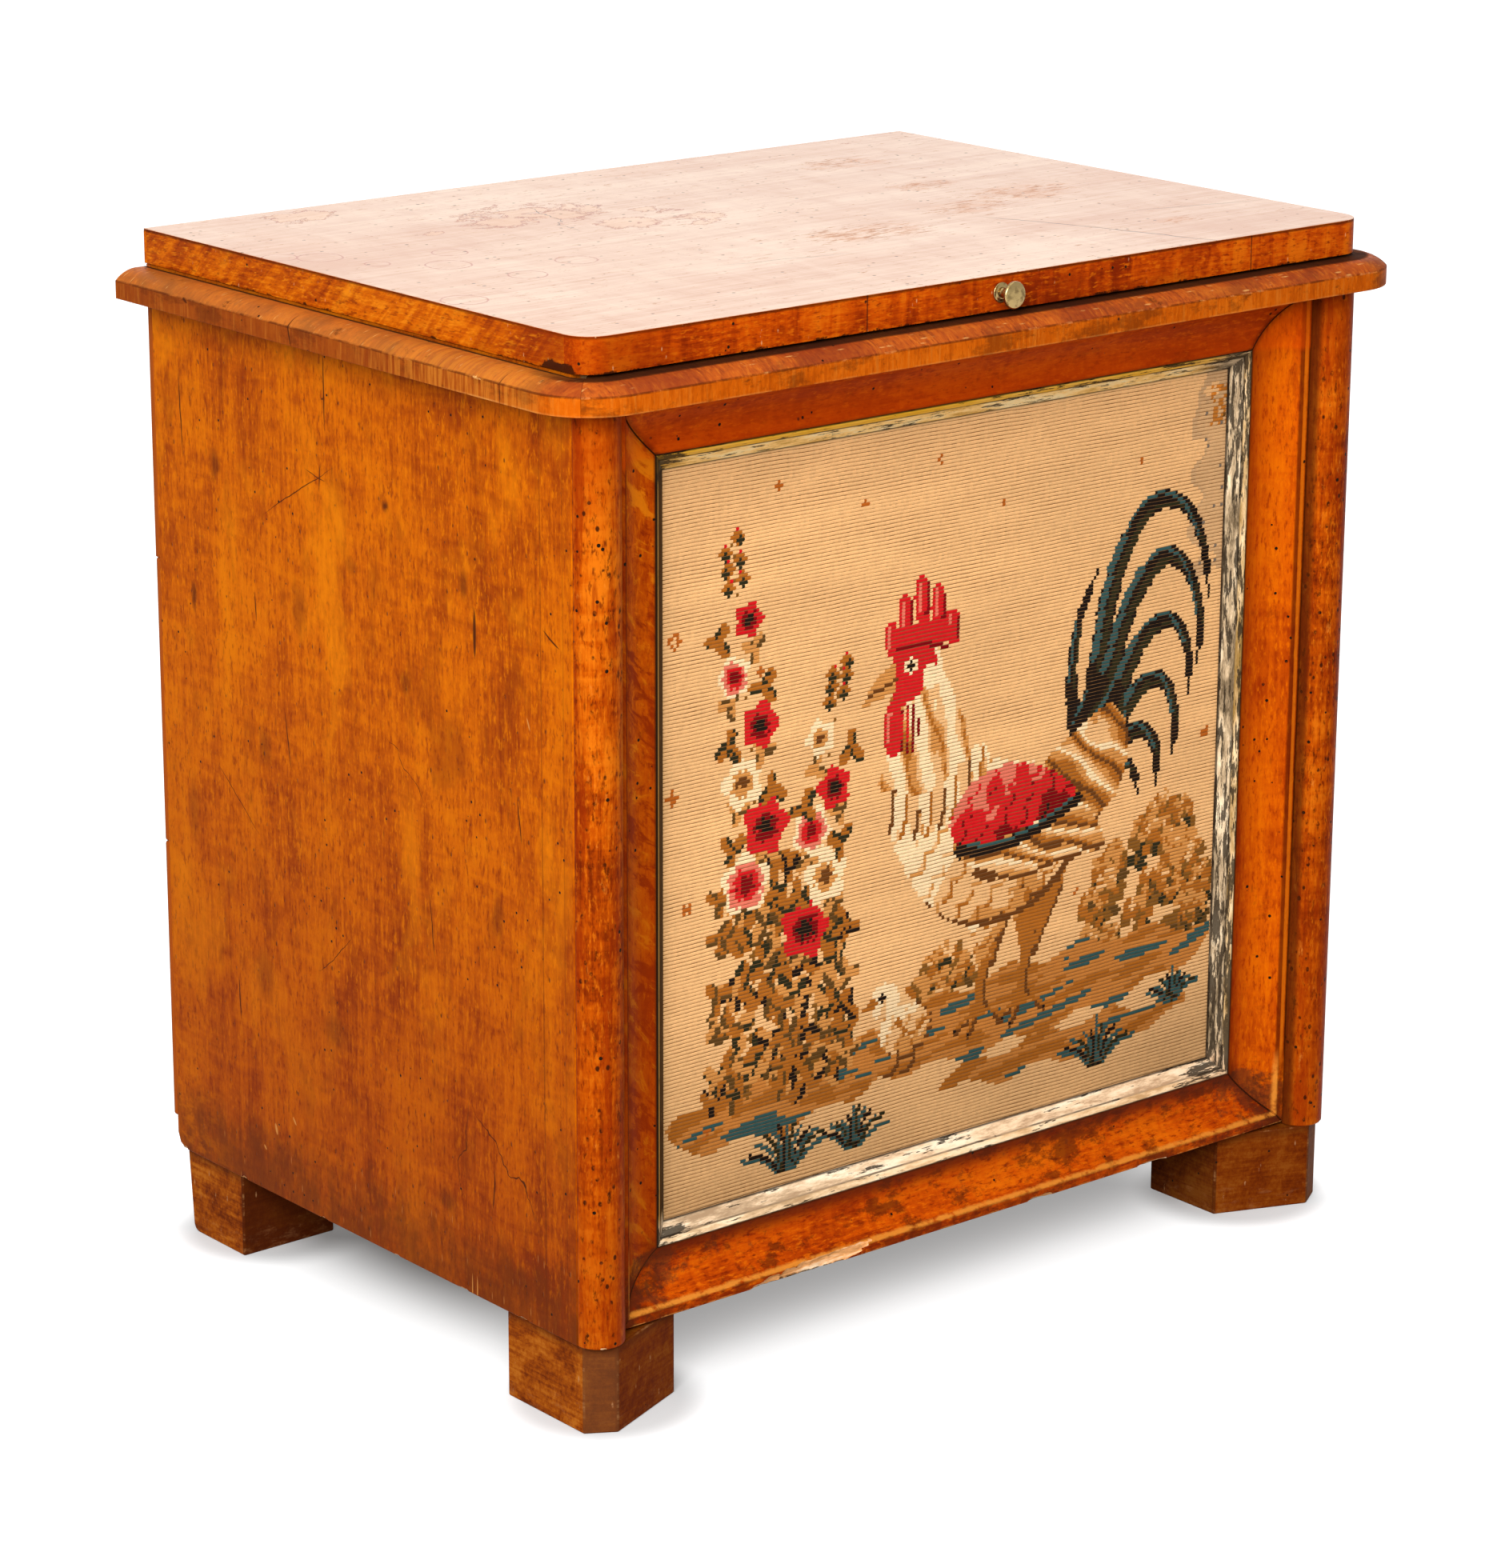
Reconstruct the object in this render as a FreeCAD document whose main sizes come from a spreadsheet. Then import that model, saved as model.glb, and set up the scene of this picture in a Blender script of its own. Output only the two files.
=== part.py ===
import FreeCAD, Part
import math
import os

import Sketcher

# Storage chest with a hinged lid, rounded corner posts and a framed needlework front.
# Millimetres, +Z up, the front faces -Y, and the origin lies under the middle of the chest.

SIZES = {
    # The whole chest
    "chest_height": 668,
    "foot_height": 56,
    # Lid
    "lid_width": 630,
    "lid_depth": 450,
    "lid_thickness": 22,
    "lid_corner_radius": 18,
    "lid_band_thickness": 2.5,
    "lid_veneer_thickness": 1.2,
    "lid_seat_gap": 0.3,
    "cleat_width": 32,
    "cleat_thickness": 15,
    "cleat_side_gap": 14,
    "cleat_end_gap": 18,
    "cleat_bevel": 9,
    # Box
    "side_inset": 1,
    "side_thickness": 18,
    "side_cut_height": 10,
    "side_cut_depth": 4,
    "front_board_thickness": 14,
    "bottom_thickness": 12,
    "back_rail_thickness": 18,
    "back_rail_height": 52,
    "back_board_thickness": 4.5,
    "back_board_rise": 21,
    # Corner posts
    "post_radius": 16,
    "post_proud": 2.5,
    # Rim moulding
    "rim_gap": 2,
    "rim_height": 18,
    "rim_projection": 22,
    "rim_fascia_height": 11.3,
    "rim_strip_width": 4,
    "rim_swell_radius": 22,
    # Front frame
    "frame_rise": 2,
    "frame_setback": 12,
    "frame_depth": 32,
    "fillet_width": 6.5,
    "scoop_width": 32.5,
    "scoop_fall": 14,
    "scoop_radius": 25.6,
    "rebate_width": 8,
    # Gilt slip
    "slip_width": 12,
    "slip_fall": 9,
    "slip_edge": 1,
    "slip_bead": 3,
    # Needlework
    "canvas_thickness": 1,
    "canvas_tuck": 6,
    # Front feet
    "foot_inset": 1.5,
    "foot_proud": 1,
    "front_foot_width": 81,
    "front_foot_side": 75,
    "foot_cant_width": 18,
    "foot_cant_depth": 11,
    "foot_splay": 25,
    # Back feet
    "back_foot_width": 71,
    "back_foot_gap": 14,
    "back_foot_top_depth": 64,
    "back_foot_base_depth": 60,
    "back_foot_heel": 6,
    "glue_block_leg": 18,
    "glue_block_length": 34,
    # Hinges
    "hinge_inset": 125,
    "hinge_length": 60,
    "leaf_width": 20,
    "leaf_thickness": 1.8,
    "barrel_radius": 3.2,
    "pin_radius": 1.5,
    "pin_clearance": 0.05,
    "running_gap": 0.3,
    # Screws
    "screw_head_radius": 3.4,
    "screw_shank_radius": 1.7,
    "screw_clearance": 0.05,
    "hinge_screw_length": 15,
    "hinge_screw_spacing": 36,
    "hinge_screw_inset": 11,
    # Knob
    "knob_radius": 8.5,
    "knob_length": 14.5,
    "knob_edge": 1.4,
    "knob_edge_place": 11.6,
    "knob_face_radius": 6,
    "knob_neck_radius": 2.8,
    "knob_neck_length": 3,
    "rose_radius": 6.2,
    "rose_thickness": 2.2,
    "rose_rim": 0.8,
    "knob_screw_radius": 1.5,
    "knob_screw_grip": 6,
    "knob_screw_length": 32,
}

# Counts and shares
KNUCKLES = 3
HINGE_SCREWS = 2
BACK_BOARDS = 3
BOTTOM_BOARDS = 3
RIM_MITRE_ANGLE = 45
SAME_PLACE = 1e-6
mitre_cut_share = 3

LEFT, RIGHT = -1, 1
SIDES = {"left": LEFT, "right": RIGHT}
Vector = FreeCAD.Vector

doc = FreeCAD.newDocument("StorageChest")
sheet = doc.addObject("Spreadsheet::Sheet", "Sizes")
for row, (alias, number) in enumerate(SIZES.items(), 1):
    sheet.set(f"A{row}", alias)
    sheet.set(f"B{row}", str(number))
    sheet.setAlias(f"B{row}", alias)
doc.recompute()


class Length:
    """A size that carries its value and the expression that binds it to the sheet."""

    def __init__(self, text, value):
        self.text = text
        self.value = float(value)

    def __add__(self, other):
        return Length(f"({self.text} + {text_of(other)})", self.value + value_of(other))

    def __sub__(self, other):
        return Length(f"({self.text} - {text_of(other)})", self.value - value_of(other))

    def __rsub__(self, other):
        return Length(f"({text_of(other)} - {self.text})", value_of(other) - self.value)

    def __mul__(self, factor):
        return Length(f"({self.text} * {factor})", self.value * factor)

    def __truediv__(self, factor):
        return Length(f"({self.text} / {factor})", self.value / factor)

    def __neg__(self):
        return self * -1

    __radd__ = __add__
    __rmul__ = __mul__


def text_of(size):
    return size.text if isinstance(size, Length) else str(size)


def value_of(size):
    return size.value if isinstance(size, Length) else float(size)


def length(alias):
    return Length(f"Sizes.{alias}", getattr(sheet, alias))


def slant(across, along):
    """The distance that is as long as both sides of a right angle make it."""
    return Length(f"sqrt({across.text} ^ 2 + {along.text} ^ 2)", math.hypot(across.value, along.value))


# Tools for making pieces

def bind(item, **sizes):
    for name, size in sizes.items():
        item.setExpression(name, text_of(size))


def place(item, at, axis=Vector(0, 0, 1), angle=0):
    item.Placement = FreeCAD.Placement(Vector(), FreeCAD.Rotation(axis, angle))
    for letter, size in zip("xyz", at):
        item.setExpression(f"Placement.Base.{letter}", text_of(size))
    return item


def arc_between(start, end, radius, turn):
    """The short arc from start to end, its centre on the left when turn is positive."""
    chord = end - start
    middle = (start + end) / 2
    rise = radius - math.sqrt(radius ** 2 - (chord.Length / 2) ** 2)
    outward = Vector(chord.y, -chord.x, 0).normalize()
    top = middle + outward * rise * turn
    return Part.Arc(start, top, end) if turn > 0 else Part.Arc(end, top, start)


def outline(body, name, role, points, lift=0):
    """A closed sketch on one of the body's own planes. A point is (x, y), or
    (x, y, radius, turn) where an arc leads to it."""
    sketch = body.newObject("Sketcher::SketchObject", name)
    plane = [item for item in body.Origin.OriginFeatures if item.Role == role][0]
    sketch.AttachmentSupport = [(plane, "")]
    sketch.MapMode = "FlatFace"
    sketch.setExpression("AttachmentOffset.Base.z", text_of(lift))
    places = [Vector(value_of(point[0]), value_of(point[1]), 0) for point in points]
    ends = []
    for index, point in enumerate(points):
        start, end = places[index - 1], places[index]
        if len(point) == 2:
            edge = sketch.addGeometry(Part.LineSegment(start, end))
        else:
            radius, turn = point[2:]
            edge = sketch.addGeometry(arc_between(start, end, value_of(radius), turn))
            rule = sketch.addConstraint(Sketcher.Constraint("Radius", edge, value_of(radius)))
            sketch.setExpression(f"Constraints[{rule}]", text_of(radius))
        forward = sketch.Geometry[edge].EndPoint.isEqual(end, SAME_PLACE)
        ends.append((1, 2) if forward else (2, 1))
    for index, point in enumerate(points):
        following = (index + 1) % len(points)
        sketch.addConstraint(Sketcher.Constraint(
            "Coincident", index, ends[index][1], following, ends[following][0]))
        for kind, size in zip(("DistanceX", "DistanceY"), point):
            rule = sketch.addConstraint(Sketcher.Constraint(
                kind, -1, 1, index, ends[index][1], value_of(size)))
            if isinstance(size, Length):
                sketch.setExpression(f"Constraints[{rule}]", size.text)
    return sketch


def new_body(name, at, axis=Vector(0, 0, 1), angle=0):
    return place(doc.addObject("PartDesign::Body", name), at, axis, angle)


def pad(body, sketch, size, symmetric=False, backward=False):
    feature = body.newObject("PartDesign::Pad", f"{sketch.Name}_pad")
    feature.Profile = (sketch, [""])
    feature.SideType = "Symmetric" if symmetric else "One side"
    feature.Reversed = backward
    bind(feature, Length=size)
    return feature


def revolve(body, sketch, angle, backward=False):
    feature = body.newObject("PartDesign::Revolution", f"{sketch.Name}_turned")
    feature.Profile = (sketch, [""])
    feature.ReferenceAxis = (sketch, ["V_Axis"])
    feature.Angle = angle
    feature.Reversed = backward
    return feature


def board(name, low, high):
    """A plain board between its lowest and highest corners."""
    box = doc.addObject("Part::Box", name)
    spans = [top - bottom for bottom, top in zip(low, high)]
    bind(box, Length=spans[0], Width=spans[1], Height=spans[2])
    return place(box, low)


def rod(name, at, radius, reach, axis=Vector(0, 0, 1), angle=0):
    cylinder = doc.addObject("Part::Cylinder", name)
    bind(cylinder, Radius=radius, Height=reach)
    return place(cylinder, at, axis, angle)


def joined(name, pieces):
    fusion = doc.addObject("Part::MultiFuse", name)
    fusion.Shapes = pieces
    return fusion


def cut_from(name, blank, tools):
    cut = doc.addObject("Part::Cut", name)
    cut.Base = blank
    cut.Tool = tools[0] if len(tools) == 1 else joined(f"{name}_tools", tools)
    return cut


def grouped(name, pieces):
    group = doc.addObject("Part::Compound", name)
    group.Links = pieces
    return group


def screw(name, at, reach, upward, room=0):
    """A countersunk screw driven up or down, its head face at the given place.
    With room round it, the same form is its hole."""
    angle = 0 if upward else 180
    way = 1 if upward else -1
    radius = shank_radius + room
    head = doc.addObject("Part::Cone", f"{name}_head")
    bind(head, Radius1=head_radius + room, Radius2=radius, Height=head_depth)
    place(head, at, Vector(1, 0, 0), angle)
    start = (at[0], at[1], at[2] + head_depth * way)
    shank = rod(f"{name}_shank", start, radius, reach - head_depth + room,
                Vector(1, 0, 0), angle)
    return joined(name, [head, shank])


def screws_and_holes(name, places, reach, upward):
    """The screws at these places, and the tools that drill their holes."""
    screws = [screw(f"{name}_{i}", at, reach, upward) for i, at in enumerate(places)]
    holes = [screw(f"{name}_hole_{i}", at, reach, upward, screw_clearance)
             for i, at in enumerate(places)]
    return screws, holes


finished = []


def finish(item):
    item.Label = item.Name
    finished.append(item)


# Main planes, worked out from the driving sizes
barrel_radius = length("barrel_radius")
running_gap = length("running_gap")
rim_projection = length("rim_projection")
lid_depth = length("lid_depth")
lid_corner = length("lid_corner_radius")
barrel_offset = barrel_radius + running_gap
whole_depth = rim_projection + lid_depth + barrel_offset + barrel_radius

half_lid = length("lid_width") / 2
side_face = half_lid - length("side_inset")
inner_face = side_face - length("side_thickness")
front = rim_projection - whole_depth / 2
back = front + lid_depth
box_back = back - length("back_board_thickness")
box_base = length("foot_height")
lid_base = length("chest_height") - length("lid_thickness")
box_top = lid_base - length("lid_seat_gap")
rim_top = lid_base - length("rim_gap")
rim_base = rim_top - length("rim_height")

post_radius = length("post_radius")
post_axis = side_face - post_radius
post_base = front + post_radius - length("post_proud")

frame_front = front + length("frame_setback")
frame_back = frame_front + length("frame_depth")
frame_base = box_base + length("frame_rise")
frame_border = length("fillet_width") + length("scoop_width")
frame_half_width = side_face - post_radius * 2
frame_half_height = (rim_base - frame_base) / 2
frame_middle = (rim_base + frame_base) / 2
opening_half_width = frame_half_width - frame_border
opening_half_height = frame_half_height - frame_border
slip_top = length("scoop_fall")
slip_back = slip_top + length("slip_fall") + length("slip_edge")
board_front = frame_back
board_back = board_front + length("front_board_thickness")
rail_front = box_back - length("back_rail_thickness")

hinge_axis_y = back + barrel_offset
hinge_axis_z = lid_base - length("lid_seat_gap") / 2
half_hinge = length("hinge_length") / 2
leaf_thickness = length("leaf_thickness")
leaf_front = back - length("leaf_width")
hinge_places = [(half_lid - length("hinge_inset")) * side for side in (LEFT, RIGHT)]
back_foot_front = back - length("back_foot_gap") - length("back_foot_top_depth")

head_radius = length("screw_head_radius")
head_depth = leaf_thickness
shank_radius = length("screw_shank_radius")
screw_clearance = length("screw_clearance")


# Sides of the box

def side_panel(name, side):
    body = new_body(f"side_panel_{name}", (inner_face if side > 0 else -side_face, post_base, box_base))
    reach = box_back - post_base
    height = box_top - box_base
    profile = outline(body, f"side_profile_{name}", "YZ_Plane", [
        (0, 0),
        (reach - length("side_cut_depth"), 0),
        (reach, length("side_cut_height")),
        (reach, height),
        (0, height)])
    pad(body, profile, length("side_thickness"))
    finish(body)


def corner_post(name, side):
    """A half-round staff with its flat back on the frame and the side panel."""
    body = new_body(f"corner_post_{name}", (post_axis * side, post_base, box_base))
    profile = outline(body, f"post_profile_{name}", "XY_Plane", [
        (-post_radius, 0),
        (0, -post_radius, post_radius, 1),
        (post_radius, 0, post_radius, 1)])
    pad(body, profile, rim_base - box_base)
    finish(body)


# Front board, back and bottom

def front_board():
    finish(board("front_board", (-inner_face, board_front, box_base), (inner_face, board_back, box_top)))


def leaf_recess(name, middle, base, top):
    """The bed of a hinge leaf, open towards the back."""
    room = screw_clearance
    return board(name, (middle - half_hinge - room, leaf_front - room, base),
                 (middle + half_hinge + room, back + running_gap, top))


def carcass_recesses(name):
    base = box_top - leaf_thickness
    return [leaf_recess(f"{name}_recess_{i}", middle, base, box_top + running_gap)
            for i, middle in enumerate(hinge_places)]


def back_rail(screw_holes):
    blank = board("back_rail_blank", (-inner_face, rail_front, box_top - length("back_rail_height")),
                  (inner_face, box_back, box_top))
    finish(cut_from("back_rail", blank, carcass_recesses("back_rail") + screw_holes))


def back_boards():
    base = box_base + length("back_board_rise")
    width = (box_top - base) / BACK_BOARDS
    for index, name in enumerate(("lower", "middle", "upper")):
        low = (-side_face, box_back, base + width * index)
        high = (side_face, back, base + width * (index + 1))
        if name == "upper":
            blank = board("back_board_upper_blank", low, high)
            finish(cut_from("back_board_upper", blank, carcass_recesses("back_board_upper")))
        else:
            finish(board(f"back_board_{name}", low, high))


def bottom_boards():
    width = (box_back - board_back) / BOTTOM_BOARDS
    for index, name in enumerate(("front", "middle", "back")):
        low = (-inner_face, board_back + width * index, box_base)
        high = (inner_face, board_back + width * (index + 1), box_base + length("bottom_thickness"))
        finish(board(f"bottom_board_{name}", low, high))


# Front frame and gilt slip: four mitred bars round the needlework

BAR_TURNS = {"right": 0, "bottom": 90, "left": 180, "top": -90}
mitred = []


def mitred_bar(name, section, near, far, cross, y, turn):
    """A bar beside an opening, made upright at its right and turned about the middle.
    near and far are the bar's edges from the middle, cross the opening's other half size."""
    body = new_body(name, (0, y, frame_middle), Vector(0, 1, 0), turn)
    profile = outline(body, f"{name}_section", "XY_Plane", section)
    bar = pad(body, profile, (cross + far - near) * 2, symmetric=True)
    over = running_gap
    corners = []
    for index, way in enumerate((1, -1)):
        corners.append(outline(body, f"{name}_mitre_{index}", "XZ_Plane", [
            (near - over, (cross - over) * way),
            (far + over, (cross + far - near + over) * way),
            (near - over, (cross + far - near + over) * way)]))
    for corner in corners:
        pocket = body.newObject("PartDesign::Pocket", f"{corner.Name}_cut")
        pocket.Profile = (corner, [""])
        pocket.SideType = "Symmetric"
        bind(pocket, Length=length("frame_depth") * mitre_cut_share)
    mitred.append((body, bar))
    finish(body)


def frame_bars():
    depth = length("frame_depth")
    for name, turn in BAR_TURNS.items():
        upright = name in SIDES
        near = opening_half_width if upright else opening_half_height
        cross = opening_half_height if upright else opening_half_width
        far = near + frame_border
        arris = near + length("scoop_width")
        lip = near + length("rebate_width")
        section = [
            (arris, 0),
            (near, slip_top, length("scoop_radius"), 1),
            (near, slip_back),
            (lip, slip_back),
            (lip, depth)]
        if upright:
            tongue = post_base - frame_front
            reach = near + (inner_face - opening_half_width)
            section += [(reach, depth), (reach, tongue), (far, tongue), (far, 0)]
        else:
            section += [(far, depth), (far, 0)]
        kind = "stile" if upright else "rail"
        mitred_bar(f"frame_{kind}_{name}", section, near, far, cross, frame_front, turn)


def slip_bars():
    width = length("slip_width")
    bead = length("slip_bead")
    for name, turn in BAR_TURNS.items():
        upright = name in SIDES
        far = opening_half_width if upright else opening_half_height
        near = far - width
        cross = (opening_half_height if upright else opening_half_width) - width
        section = [
            (far, slip_back),
            (far, slip_top),
            (far - bead, slip_top + bead / 2, bead, -1),
            (near, slip_back - length("slip_edge")),
            (near, slip_back)]
        mitred_bar(f"gilt_slip_{name}", section, near, far, cross, frame_front, turn)


def needlework():
    half_width = opening_half_width + length("canvas_tuck")
    half_height = opening_half_height + length("canvas_tuck")
    face = frame_front + slip_back
    behind = face + length("canvas_thickness")
    low_z = frame_middle - half_height
    high_z = frame_middle + half_height
    finish(board("needlework_canvas", (-half_width, face, low_z), (half_width, behind, high_z)))
    finish(board("needlework_board", (-half_width, behind, low_z), (half_width, board_front, high_z)))


# Rim moulding under the lid, with its rounded front corners mitred

def rim_section(inner, way):
    """The moulding's outline, measured outwards from the middle of the corner's curve."""
    outer = lid_corner + rim_projection
    strip = lid_corner + length("rim_strip_width")
    return [
        (inner * way, 0),
        (outer * way, 0),
        (outer * way, length("rim_fascia_height")),
        (strip * way, length("rim_height"), length("rim_swell_radius"), way),
        (inner * way, length("rim_height"))]


def rim_front():
    """The front board of the rim, its moulded edge running round half of each corner."""
    corner_y = front + lid_corner
    corner_x = half_lid - lid_corner
    inner = corner_y - post_base
    body = new_body("rim_front", (0, corner_y, rim_base))
    straight = outline(body, "rim_front_straight", "YZ_Plane", rim_section(inner, -1))
    pad(body, straight, corner_x * 2, symmetric=True)
    shelf = outline(body, "rim_front_shelf", "XY_Plane", [
        (-inner_face, -inner),
        (inner_face, -inner),
        (inner_face, board_front - corner_y),
        (-inner_face, board_front - corner_y)])
    pad(body, shelf, length("rim_height"))
    for name, side in SIDES.items():
        corner = outline(body, f"rim_front_corner_{name}", "YZ_Plane",
                         rim_section(slant(inner, inner), -1), corner_x * side)
        revolve(body, corner, RIM_MITRE_ANGLE, backward=side < 0)
    finish(body)


def rim_side(name, side):
    """A side of the rim, glued to the side panel, with the other half of its corner."""
    corner_y = front + lid_corner
    corner_x = half_lid - lid_corner
    inner = side_face - corner_x
    body = new_body(f"rim_{name}", (corner_x * side, corner_y, rim_base))
    run = outline(body, f"rim_{name}_straight", "XZ_Plane", rim_section(inner, side))
    pad(body, run, back - corner_y, backward=True)
    clear = slant(inner, corner_y - post_base)
    corner = outline(body, f"rim_{name}_corner", "XZ_Plane", rim_section(clear, side))
    revolve(body, corner, RIM_MITRE_ANGLE, backward=side > 0)
    finish(body)


# Feet

def front_foot(name, side):
    """A block with a canted corner, its face splayed back towards the middle."""
    body = new_body(f"foot_front_{name}", ((side_face - length("foot_inset")) * side,
                                           front - length("foot_proud"), 0))
    cant = length("foot_cant_depth")
    heel = cant + length("front_foot_side")
    width = length("front_foot_width")
    plan = outline(body, f"front_foot_plan_{name}", "XY_Plane", [
        (0, cant),
        (-length("foot_cant_width") * side, 0),
        (-width * side, length("foot_splay")),
        (-width * side, heel),
        (0, heel)])
    pad(body, plan, length("foot_height"))
    finish(body)


def back_foot(name, side):
    """A block that narrows a little downwards, with a rounded heel."""
    width = length("back_foot_width")
    outer = side_face - length("foot_inset")
    body = new_body(f"foot_back_{name}", (outer - width if side > 0 else -outer, back_foot_front, 0))
    heel = length("back_foot_heel")
    base = length("back_foot_base_depth")
    profile = outline(body, f"back_foot_profile_{name}", "YZ_Plane", [
        (0, 0),
        (base - heel, 0),
        (base, heel, heel, 1),
        (length("back_foot_top_depth"), length("foot_height")),
        (0, length("foot_height"))])
    pad(body, profile, width)
    finish(body)


def glue_blocks():
    """Three-cornered blocks glued between the bottom and the inner side of each foot."""
    leg = length("glue_block_leg")
    run = length("glue_block_length")
    front_end = front - length("foot_proud") + length("foot_cant_depth") + length("front_foot_side")
    inner_front = side_face - length("foot_inset") - length("front_foot_width")
    inner_back = side_face - length("foot_inset") - length("back_foot_width")
    rows = (("front", inner_front, front_end - run), ("back", inner_back, back_foot_front + leg))
    blocks = []
    for row, inner, start in rows:
        for name, side in SIDES.items():
            body = new_body(f"glue_block_{row}_{name}", (inner * side, start, box_base))
            profile = outline(body, f"glue_block_profile_{row}_{name}", "XZ_Plane", [
                (0, 0),
                (-leg * side, 0),
                (0, -leg)])
            pad(body, profile, run, backward=True)
            blocks.append(body)
    finish(grouped("glue_blocks", blocks))


# Hinges

def hinge_leaf(name, middle, knuckles, way, screw_holes):
    """A leaf with its knuckles. way is 1 for the lid's leaf and -1 for the box's."""
    x, y, z = middle, hinge_axis_y, hinge_axis_z
    half_gap = length("lid_seat_gap") / 2
    near, far = z + half_gap * way, z + (half_gap + leaf_thickness) * way
    low_z, high_z = (near, far) if way > 0 else (far, near)
    solids = [board(f"{name}_plate", (x - half_hinge, leaf_front, low_z), (x + half_hinge, back, high_z))]
    pitch = length("hinge_length") / KNUCKLES
    bore_radius = length("pin_radius") + length("pin_clearance")
    for index in knuckles:
        start = x - half_hinge + pitch * index + running_gap / 2
        reach = pitch - running_gap
        solids.append(rod(f"{name}_barrel_{index}", (start, y, z), barrel_radius, reach,
                          Vector(0, 1, 0), 90))
        solids.append(board(f"{name}_strap_{index}", (start, back, low_z), (start + reach, y, high_z)))
    bore = rod(f"{name}_bore", (x - half_hinge - running_gap, y, z), bore_radius,
               length("hinge_length") + running_gap * 2, Vector(0, 1, 0), 90)
    finish(cut_from(name, joined(f"{name}_blank", solids), [bore] + screw_holes))


def hinge_screw_places(middle, z):
    y = back - length("hinge_screw_inset")
    return [(middle + length("hinge_screw_spacing") * (index - (HINGE_SCREWS - 1) / 2), y, z)
            for index in range(HINGE_SCREWS)]


def hinges():
    """Both hinges with their pins. Returns the screw holes of the box and of the lid."""
    reach = length("hinge_screw_length")
    odd_knuckles = range(0, KNUCKLES, 2)
    even_knuckles = range(1, KNUCKLES, 2)
    box_screws, lid_screws, box_holes, lid_holes = [], [], [], []
    for (name, side), middle in zip(SIDES.items(), hinge_places):
        screws, holes = screws_and_holes(f"hinge_box_screw_{name}", hinge_screw_places(middle, box_top),
                                         reach, upward=False)
        box_screws += screws
        box_holes += holes
        hinge_leaf(f"hinge_box_leaf_{name}", middle, odd_knuckles, -1, holes)
        screws, holes = screws_and_holes(f"hinge_lid_screw_{name}", hinge_screw_places(middle, lid_base),
                                         reach, upward=True)
        lid_screws += screws
        lid_holes += holes
        hinge_leaf(f"hinge_lid_leaf_{name}", middle, even_knuckles, 1, holes)
        finish(rod(f"hinge_pin_{name}", (middle - half_hinge, hinge_axis_y, hinge_axis_z),
                   length("pin_radius"), length("hinge_length"), Vector(0, 1, 0), 90))
    finish(grouped("hinge_box_screws", box_screws))
    finish(grouped("hinge_lid_screws", lid_screws))
    return box_holes, lid_holes


# Lid

def lid_plan(half_width, front_y, back_y, radius):
    """The lid's outline from above, rounded at its front corners."""
    return [
        (-half_width, back_y),
        (-half_width, front_y + radius),
        (radius - half_width, front_y, radius, 1),
        (half_width - radius, front_y),
        (half_width, front_y + radius, radius, 1),
        (half_width, back_y)]


def lid_recesses(name):
    return [leaf_recess(f"{name}_recess_{i}", middle, lid_base - running_gap, lid_base + leaf_thickness)
            for i, middle in enumerate(hinge_places)]


def lid_panel(holes):
    band = length("lid_band_thickness")
    body = new_body("lid_panel_blank", (0, 0, lid_base))
    plan = outline(body, "lid_panel_plan", "XY_Plane",
                   lid_plan(half_lid - band, front + band, back - band, lid_corner - band))
    pad(body, plan, length("lid_thickness") - length("lid_veneer_thickness"))
    finish(cut_from("lid_panel", body, lid_recesses("lid_panel") + holes))


def lid_veneer():
    thickness = length("lid_veneer_thickness")
    body = new_body("lid_top_veneer", (0, 0, length("chest_height") - thickness))
    plan = outline(body, "lid_veneer_plan", "XY_Plane", lid_plan(half_lid, front, back, lid_corner))
    pad(body, plan, thickness)
    finish(body)


def lid_bands(knob_hole):
    """Thin bands round the lid's edge. The front one is bent round both corners."""
    band = length("lid_band_thickness")
    top = length("chest_height") - length("lid_veneer_thickness")
    body = new_body("lid_band_front_blank", (0, 0, lid_base))
    inner = lid_corner - band
    bend_x = half_lid - lid_corner
    bend_y = front + lid_corner
    plan = outline(body, "lid_band_plan", "XY_Plane", [
        (-half_lid, bend_y),
        (-bend_x, front, lid_corner, 1),
        (bend_x, front),
        (half_lid, bend_y, lid_corner, 1),
        (half_lid - band, bend_y),
        (bend_x, front + band, inner, -1),
        (-bend_x, front + band),
        (band - half_lid, bend_y, inner, -1)])
    pad(body, plan, top - lid_base)
    finish(cut_from("lid_band_front", body, [knob_hole]))
    for name, side in SIDES.items():
        edges = sorted((half_lid * side, (half_lid - band) * side), key=value_of)
        finish(board(f"lid_band_{name}", (edges[0], bend_y, lid_base), (edges[1], back - band, top)))
    blank = board("lid_band_back_blank", (-half_lid, back - band, lid_base), (half_lid, back, top))
    finish(cut_from("lid_band_back", blank, lid_recesses("lid_band_back")))


def lid_cleats():
    """Two battens glued under the lid, bevelled at their ends."""
    width = length("cleat_width")
    thickness = length("cleat_thickness")
    bevel = length("cleat_bevel")
    start_y = board_back + length("cleat_end_gap")
    run = rail_front - length("cleat_end_gap") - start_y
    outer = inner_face - length("cleat_side_gap")
    for name, side in SIDES.items():
        body = new_body(f"lid_cleat_{name}", (outer - width if side > 0 else -outer,
                                              start_y, lid_base - thickness))
        profile = outline(body, f"lid_cleat_profile_{name}", "YZ_Plane", [
            (bevel, 0),
            (run - bevel, 0),
            (run, bevel),
            (run, thickness),
            (0, thickness),
            (0, bevel)])
        pad(body, profile, width)
        finish(body)


# Knob

knob_z = lid_base + length("lid_thickness") / 2


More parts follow.
